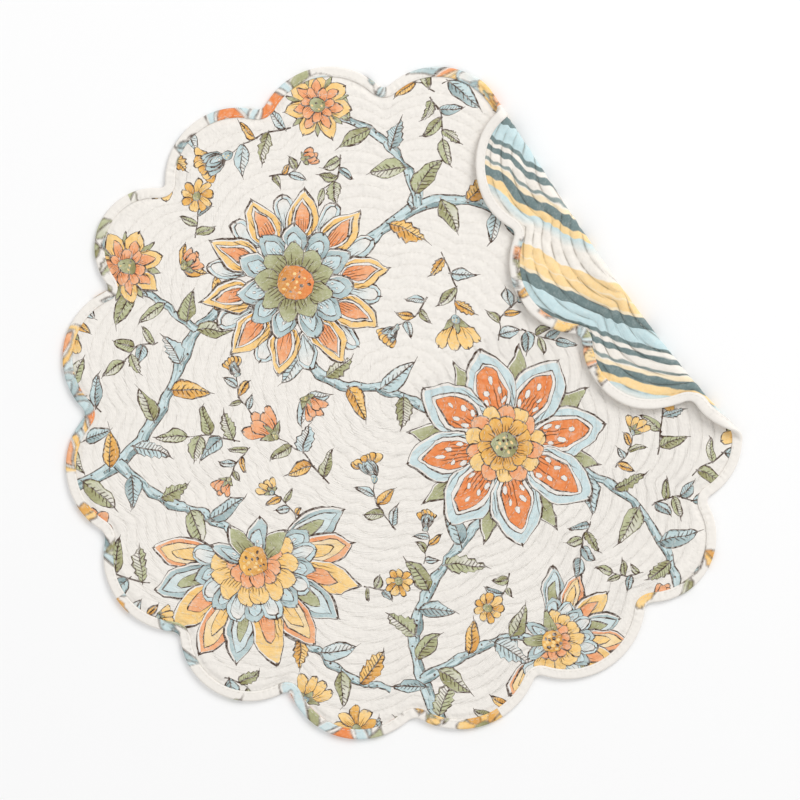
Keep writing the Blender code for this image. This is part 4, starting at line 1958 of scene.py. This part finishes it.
class Nodes:
    """Places and links nodes in one tree."""

    def __init__(self, tree: NodeTree) -> None:
        """Starts on a material's or a group's tree."""
        self.tree = tree

    def feed(self, node: Node, inputs: dict) -> None:
        """Links outputs to a node, or sets plain values on it.

        Args:
            node: The node.
            inputs: An output or a value for each input's name or number.
        """
        for key, value in inputs.items():
            if isinstance(value, Socket):
                self.tree.links.new(value, node.inputs[key])
            else:
                node.inputs[key].default_value = value

    def add(self, kind: str, inputs: dict | None = None, **settings: object) -> Node:
        """Places a node.

        Args:
            kind: Its type.
            inputs: What feeds it.
            **settings: Its own properties.

        Returns:
            The node.
        """
        node = self.tree.nodes.new(kind)
        for name, value in settings.items():
            setattr(node, name, value)
        self.feed(node, inputs or {})
        return node

    def math(self, operation: str, *values: object) -> Socket:
        """A sum of one kind on values or outputs."""
        return self.add("ShaderNodeMath", dict(enumerate(values)), operation=operation).outputs[0]

    def times(self, value: object, factor: object, plus: object = 0.0) -> Socket:
        """A value times a factor, and something added."""
        return self.math("MULTIPLY_ADD", value, factor, plus)

    def mix(self, share: object, first: object, second: object, blend: str = "MIX") -> Socket:
        """Two colours mixed."""
        inputs = {0: share, 6: first, 7: second}
        return self.add("ShaderNodeMix", inputs, data_type="RGBA", blend_type=blend).outputs[2]

    def clamp(self, value: object) -> Socket:
        """A value held between 0 and 1."""
        return self.add("ShaderNodeClamp", {0: value}).outputs[0]

    def noise(self, place: Socket, size: float, detail: float = 2.0,
              stretch: tuple[float, float, float] = (1, 1, 1)) -> Socket:
        """Uneven spots.

        Args:
            place: Where on the cloth, in millimetres.
            size: About how wide the spots are.
            detail: How many finer sizes are laid over them.
            stretch: Below 1 on an axis draws them out along it.

        Returns:
            A value about 0.5.
        """
        scaled = self.add("ShaderNodeMapping", {"Vector": place, "Scale": [s / size for s in stretch]})
        inputs = {"Vector": scaled.outputs[0], "Scale": 1.0, "Detail": detail}
        return self.add("ShaderNodeTexNoise", inputs).outputs[0]

    def attribute(self, name: str, output: str) -> Socket:
        """A value stored on the mesh."""
        return self.add("ShaderNodeAttribute", attribute_name=name).outputs[output]


def node_group(name: str, inputs: dict[str, str],
               outputs: dict[str, str]) -> tuple[Nodes, Node, Node]:
    """An empty shader group with named sockets.

    Args:
        name: The group's name.
        inputs: Each input's kind, such as Float.
        outputs: Each output's kind.

    Returns:
        Its nodes, the node that gives its inputs and the node that takes its outputs.
    """
    tree = bpy.data.node_groups.new(name, "ShaderNodeTree")
    for way, sockets in (("INPUT", inputs), ("OUTPUT", outputs)):
        for key, kind in sockets.items():
            tree.interface.new_socket(key, in_out=way, socket_type=f"NodeSocket{kind}")
    return Nodes(tree), tree.nodes.new("NodeGroupInput"), tree.nodes.new("NodeGroupOutput")


def new_finish(name: str, settings: dict) -> tuple[Material, Nodes, Node]:
    """A material with one shader.

    Args:
        name: The material's name.
        settings: Plain values for the shader.

    Returns:
        The material, its nodes and the shader.
    """
    material = bpy.data.materials.new(name)
    material.use_nodes = True
    nodes = Nodes(material.node_tree)
    shader = material.node_tree.nodes["Principled BSDF"]
    nodes.feed(shader, settings)
    return material, nodes, shader


@dataclass
class ClothEffects:
    """The groups that the cloths share, each with its own strengths."""

    stray: float = 0.5  # how far a thread wanders
    pooled: float = 0.4
    pen: float = 0.8
    dry: float = 0.6
    worn: tuple[float, float] = (3.5, -1.6)  # the noise's contrast, and what is added
    pull: tuple[float, float] = (0.7, 0.45)  # the puckers' height, towards a seam and everywhere
    patchy: tuple[float, float] = (5.5, -2.2)
    weave: NodeTree = field(init=False)
    wash: NodeTree = field(init=False)
    crinkle: NodeTree = field(init=False)

    def __post_init__(self) -> None:
        """Builds each group once."""
        self.weave = self._weave()
        self.wash = self._wash()
        self.crinkle = self._crinkle()

    def _weave(self) -> NodeTree:
        """A plain weave.

        Returns:
            A group that gives the threads' height and a shade that is dark between them.
        """
        nodes, source, sink = node_group(
            "plain_weave", {"Flat": "Vector", "Thread": "Float"}, {"Height": "Float", "Shade": "Float"})
        flat = source.outputs["Flat"]
        stray = nodes.times(nodes.noise(flat, 3.0, 1.0), self.stray)
        parts = nodes.add("ShaderNodeSeparateXYZ", {0: flat})
        turn = nodes.math("DIVIDE", math.pi, source.outputs["Thread"])
        moved = [nodes.math("ADD", parts.outputs[axis], stray) for axis in (0, 1)]
        waves = [nodes.math("SINE", nodes.times(place, turn)) for place in moved]
        height = nodes.times(nodes.times(*waves), 0.5, 0.5)
        slubs = [nodes.noise(flat, 0.9, 2.0, stretch) for stretch in ((1, 0.18, 1), (0.18, 1, 1))]
        uneven = nodes.times(nodes.math("ADD", *slubs), 0.5)
        shade = nodes.times(nodes.math("ADD", height, uneven), 0.5)
        nodes.feed(sink, {"Height": height, "Shade": shade})
        return nodes.tree

    def _wash(self) -> NodeTree:
        """Dye that took unevenly, with fine pen lines.

        Returns:
            A group that gives a colour, pooled and worn where it is dyed and dry where it is inked.
        """
        nodes, source, sink = node_group(
            "uneven_dye",
            {"Colour": "Color", "Ink": "Float", "Pen": "Vector", "Flat": "Vector", "Depth": "Float"},
            {"Colour": "Color"})
        flat, ink = source.outputs["Flat"], source.outputs["Ink"]
        ground = (*linear(Dye.GROUND.value), 1)
        dyed = nodes.math("MINIMUM", nodes.times(ink, 2.0), 1.0)
        line = nodes.math("MAXIMUM", nodes.times(ink, 2.0, -1.0), 0.0)
        total = 0.0
        for spots in DYE_SPOTS:
            patches = nodes.math("SUBTRACT", nodes.noise(flat, spots.size, 3.0, spots.stretch), 0.5)
            total = nodes.times(patches, spots.share, total)
        share = nodes.times(nodes.times(total, source.outputs["Depth"]), dyed)
        pale = nodes.mix(nodes.clamp(share), source.outputs["Colour"], ground)
        deep = nodes.mix(1.0, pale, nodes.mix(self.pooled, pale, (1, 1, 1, 1)), "MULTIPLY")
        colour = nodes.mix(nodes.clamp(nodes.times(share, -2.0)), pale, deep)
        drawn = nodes.times(self._pen_lines(nodes, source.outputs["Pen"], flat), self.pen)
        colour = nodes.mix(drawn, colour, (*linear(Dye.INK.value), 1))
        worn = nodes.clamp(nodes.times(nodes.noise(flat, 2.4, 3.0), *self.worn))
        dry = nodes.times(line, nodes.times(worn, self.dry))
        nodes.feed(sink, {"Colour": nodes.mix(dry, colour, ground)})
        return nodes.tree

    @staticmethod
    def _pen_lines(nodes: Nodes, pen: Socket, flat: Socket) -> Socket:
        """Fine pen lines, each of its own length.

        Args:
            nodes: Where they are placed.
            pen: What Patch.pen_lines stores.
            flat: Where on the cloth.

        Returns:
            1 on a line and 0 beside it.
        """
        parts = nodes.add("ShaderNodeSeparateXYZ", {0: pen})
        place = nodes.times(nodes.noise(flat, 5.0, 1.0), 0.9, parts.outputs[1])
        number = nodes.math("FLOOR", place)
        length = nodes.add("ShaderNodeTexWhiteNoise", {"W": number}, noise_dimensions="1D").outputs[0]
        left = nodes.math("SUBTRACT", nodes.times(length, 0.5, 0.25), parts.outputs[0])
        off = nodes.math("ABSOLUTE", nodes.math("SUBTRACT", nodes.math("FRACT", place), 0.5))
        thin = nodes.clamp(nodes.times(off, -9.0, 1.8))
        shown = nodes.times(thin, nodes.clamp(nodes.times(left, 8.0)))
        return nodes.times(shown, parts.outputs[2])

    def _crinkle(self) -> NodeTree:
        """Small puckers that gather towards the stitched lines, and uneven wash creases.

        Returns:
            A group that gives their height, and masks of the seams and of the stitched lines.
        """
        nodes, source, sink = node_group(
            "stitch_crinkle", {"Quilt": "Vector", "Flat": "Vector"},
            {"Height": "Float", "Seam": "Float", "Line": "Float"})
        parts = nodes.add("ShaderNodeSeparateXYZ", {0: source.outputs["Quilt"]})
        turn = nodes.times(nodes.math("ADD", parts.outputs[1], 0.5), math.pi)
        near = nodes.math("SUBTRACT", 1.0, nodes.math("ABSOLUTE", nodes.math("SINE", turn)))
        seam = nodes.math("POWER", near, 2.0)
        across = nodes.times(parts.outputs[1], QUILT_PITCH)
        place = nodes.add("ShaderNodeCombineXYZ", {0: parts.outputs[0], 1: across}).outputs[0]
        pucker = nodes.math("SUBTRACT", nodes.noise(place, 2.6, 1.0, (1, 0.34, 1)), 0.5)
        height = nodes.times(pucker, nodes.times(seam, *self.pull))
        for spots in CREASES:
            creases = nodes.noise(source.outputs["Flat"], spots.size, 2.0, spots.stretch)
            height = nodes.times(creases, spots.share, height)
        patchy = nodes.clamp(nodes.times(nodes.noise(place, 12.0, 3.0), *self.patchy))
        nodes.feed(sink, {
            "Height": height,
            "Seam": nodes.times(seam, patchy),
            "Line": nodes.times(nodes.math("POWER", near, 4.5), patchy),
        })
        return nodes.tree


@dataclass(frozen=True)
class ClothFinish:
    """Cotton with a weave, uneven dye and crinkles."""

    name: str
    thread: float = 0.55
    roughness: float = 0.86
    shine: float = 0.25
    fuzz: float = 0.05
    dye_depth: float = 0.75
    weave_shade: float = 0.10
    blotch_shade: float = 0.05
    seam_shade: float = 0.05
    line_shade: float = 0.03
    crinkle_depth: float = 0.6
    weave_depth: float = 0.06

    def _shader(self) -> tuple[Material, Nodes, Node]:
        """The material, its nodes and its one shader.

        Returns:
            The material, its nodes and the shader.
        """
        return new_finish(self.name, {
            "Roughness": self.roughness, "Specular IOR Level": self.shine,
            "Sheen Weight": self.fuzz, "Sheen Roughness": 0.5,
        })

    def _finish(self, nodes: Nodes, shader: Node, effects: ClothEffects,
                colour: Socket, quilted: bool) -> None:
        """Lays weave and crinkle over a colour.

        Args:
            nodes: The material's nodes.
            shader: Its shader.
            effects: The shared groups.
            colour: The dyed cloth.
            quilted: Whether stitched lines cross it.
        """
        flat = nodes.attribute("flat", "Vector")
        inputs = {"Flat": flat, "Thread": self.thread}
        weave = nodes.add("ShaderNodeGroup", inputs, node_tree=effects.weave)
        shade = nodes.times(weave.outputs["Shade"], self.weave_shade * 2, 1 - self.weave_shade)
        blotches = nodes.times(nodes.noise(flat, 3.4, 4.0), self.blotch_shade * 2, -self.blotch_shade)
        shade = nodes.math("ADD", shade, blotches)
        grey = nodes.add("ShaderNodeCombineColor", {0: shade, 1: shade, 2: shade})
        colour = nodes.mix(1.0, colour, grey.outputs[0], "MULTIPLY")
        height = nodes.times(weave.outputs["Height"], self.weave_depth)
        if quilted:
            inputs = {"Quilt": nodes.attribute("quilt", "Vector"), "Flat": flat}
            crinkle = nodes.add("ShaderNodeGroup", inputs, node_tree=effects.crinkle)
            height = nodes.times(crinkle.outputs["Height"], self.crinkle_depth, height)
            for output, depth in (("Seam", self.seam_shade), ("Line", self.line_shade)):
                share = nodes.times(crinkle.outputs[output], depth)
                colour = nodes.mix(share, colour, SEAM_SHADOW, "MULTIPLY")
        else:
            height = nodes.times(nodes.noise(flat, 2.6, 2.0), self.crinkle_depth * 0.5, height)
        bump = nodes.add("ShaderNodeBump", {"Strength": 1.0, "Distance": MM, "Height": height})
        nodes.feed(shader, {"Base Color": colour, "Normal": bump.outputs[0]})

    def printed(self, effects: ClothEffects, quilted: bool) -> Material:
        """The floral print.

        Args:
            effects: The shared groups.
            quilted: Whether stitched lines cross it.

        Returns:
            The material.
        """
        material, nodes, shader = self._shader()
        inputs = {
            "Colour": nodes.attribute("dye", "Color"), "Ink": nodes.attribute("ink", "Fac"),
            "Pen": nodes.attribute("pen", "Vector"), "Flat": nodes.attribute("flat", "Vector"),
            "Depth": self.dye_depth,
        }
        wash = nodes.add("ShaderNodeGroup", inputs, node_tree=effects.wash)
        self._finish(nodes, shader, effects, wash.outputs[0], quilted)
        return material

    def striped(self, effects: ClothEffects) -> Material:
        """The striped reverse.

        Args:
            effects: The shared groups.

        Returns:
            The material.
        """
        material, nodes, shader = self._shader()
        place = nodes.math("FRACT", nodes.attribute("stripe", "Fac"))
        ramp = nodes.add("ShaderNodeValToRGB", {0: place})
        self._lay_stripes(ramp.color_ramp)
        inputs = {"Colour": ramp.outputs[0], "Ink": 0.5, "Flat": nodes.attribute("flat", "Vector"),
                  "Depth": self.dye_depth}
        wash = nodes.add("ShaderNodeGroup", inputs, node_tree=effects.wash)
        self._finish(nodes, shader, effects, wash.outputs[0], True)
        return material

    @staticmethod
    def _lay_stripes(ramp: bpy.types.ColorRamp) -> None:
        """Turns the table of stripes into the ramp's stops.

        Args:
            ramp: A new ramp, with its two first stops.
        """
        period = sum(stripe.width for stripe in STRIPES)
        soft = STRIPE_SOFTNESS / period
        stops = []
        at = 0.0
        for stripe in STRIPES:
            width = stripe.width / period
            stops.append((at + soft, stripe.colour))
            if stripe.width > 1:
                stops.append((at + width - soft, stripe.fades_to or stripe.colour))
            at += width
        for element, (position, colour) in zip(ramp.elements, (stops[0], stops[-1])):
            element.position, element.color = position, (*linear(colour), 1)
        for position, colour in stops[1:-1]:
            ramp.elements.new(position).color = (*linear(colour), 1)


@dataclass(frozen=True)
class ThreadFinish:
    """Cotton sewing thread."""

    name: str
    colour: Colour
    roughness: float = 0.6
    fuzz: float = 0.2
    shade: float = 0.86  # the darkest tone, as a share of the colour
    spot: float = 0.004

    def material(self) -> Material:
        """Thread with a slight change of tone.

        Returns:
            The material.
        """
        settings = {"Roughness": self.roughness, "Sheen Weight": self.fuzz}
        material, nodes, shader = new_finish(self.name, settings)
        place = nodes.add("ShaderNodeTexCoord").outputs["Object"]
        dark = (*(linear(self.colour) * self.shade), 1)
        tone = nodes.mix(nodes.noise(place, self.spot), dark, (*linear(self.colour), 1))
        nodes.feed(shader, {"Base Color": tone})
        return material


# ---- studio


@dataclass
class Studio:
    """A pale table, soft light and a camera straight above."""

    view_width: float = 0.505
    lens: float = 150.0
    sensor: float = 36.0
    table_size: float = 6.0
    table_gap: float = 0.00025  # clears the stitches underneath
    sky: float = 0.66

    def build(self) -> None:
        """Adds the table, the lights and the camera."""
        self._table()
        self._lights()
        self._camera()

    def _table(self) -> None:
        """The pale surface under the mat."""
        bpy.ops.mesh.primitive_plane_add(size=self.table_size, location=(0, 0, -self.table_gap))
        table = bpy.context.object
        table.name = "table"
        material, _, _ = new_finish("pale_table", {"Base Color": (0.93, 0.93, 0.93, 1), "Roughness": 0.9})
        table.data.materials.append(material)

    def _lights(self) -> None:
        """A soft key from the upper right, a fill from the left and a pale sky."""
        world = bpy.data.worlds.new("studio")
        bpy.context.scene.world = world
        world.use_nodes = True
        background = world.node_tree.nodes["Background"]
        background.inputs[0].default_value = (1, 1, 1, 1)
        background.inputs[1].default_value = self.sky
        for name, place, size, power in (
            ("key", (1.9, 2.1, 2.4), 1.8, 72.0),
            ("fill", (-1.4, -0.6, 1.6), 1.6, 6.0),
        ):
            light = bpy.data.lights.new(name, "AREA")
            light.size, light.energy = size, power
            lamp = bpy.data.objects.new(name, light)
            lamp.location = place
            lamp.rotation_euler = (-Vector(place)).to_track_quat("-Z", "Y").to_euler()
            bpy.context.scene.collection.objects.link(lamp)

    def _camera(self) -> None:
        """Looks straight down on the mat, as the photograph does."""
        camera = bpy.data.cameras.new("camera")
        camera.lens, camera.sensor_width = self.lens, self.sensor
        eye = bpy.data.objects.new("camera", camera)
        eye.location = (0, 0, self.view_width * self.lens / self.sensor)
        bpy.context.scene.collection.objects.link(eye)
        bpy.context.scene.camera = eye
        bpy.context.scene.view_settings.view_transform = "Standard"


# ---- the whole mat


def report(piece: Object) -> None:
    """Logs a piece and its number of faces."""
    log.info("%s: %d faces", piece.name, len(piece.data.polygons))


def main() -> None:
    """Builds the mat's cloths, binding and stitching, then the studio."""
    logging.basicConfig(level=logging.INFO, format="%(message)s")
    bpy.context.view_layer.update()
    outline, fold = Outline(), Fold()
    cloth = Cloth(outline, fold, Quilt(outline, fold), Print())
    log.info("print: %d patches", len(cloth.design.patches))
    effects = ClothEffects()

    front = FrontPanel(cloth).build()
    floral = ClothFinish("floral_print", crinkle_depth=0.85, blotch_shade=0.07)
    front.data.materials.append(floral.printed(effects, True))
    back = BackPanel(cloth).build()
    striped = ClothFinish("striped_cloth", dye_depth=0.42, seam_shade=0.12, line_shade=0.9)
    back.data.materials.append(striped.striped(effects))
    binding = Binding(cloth).build()
    bias = ClothFinish("bias_strip", crinkle_depth=0.3)
    binding.data.materials.append(bias.printed(effects, False))
    cream = ThreadFinish("cream_thread", (240, 235, 226)).material()
    # the reverse's thread is greyer than the front's: partly the thread's own colour and partly painted shade
    # for the dark stitched lines on the flap
    grey = ThreadFinish("grey_thread", (186, 184, 176)).material()
    stitches = Stitching(cloth).build()
    for piece in stitches:
        piece.data.materials.append(grey if piece.name == "back_quilting" else cream)

    for piece in (front, back, binding, *stitches):
        report(piece)
    Studio().build()


if __name__ == "__main__":
    main()
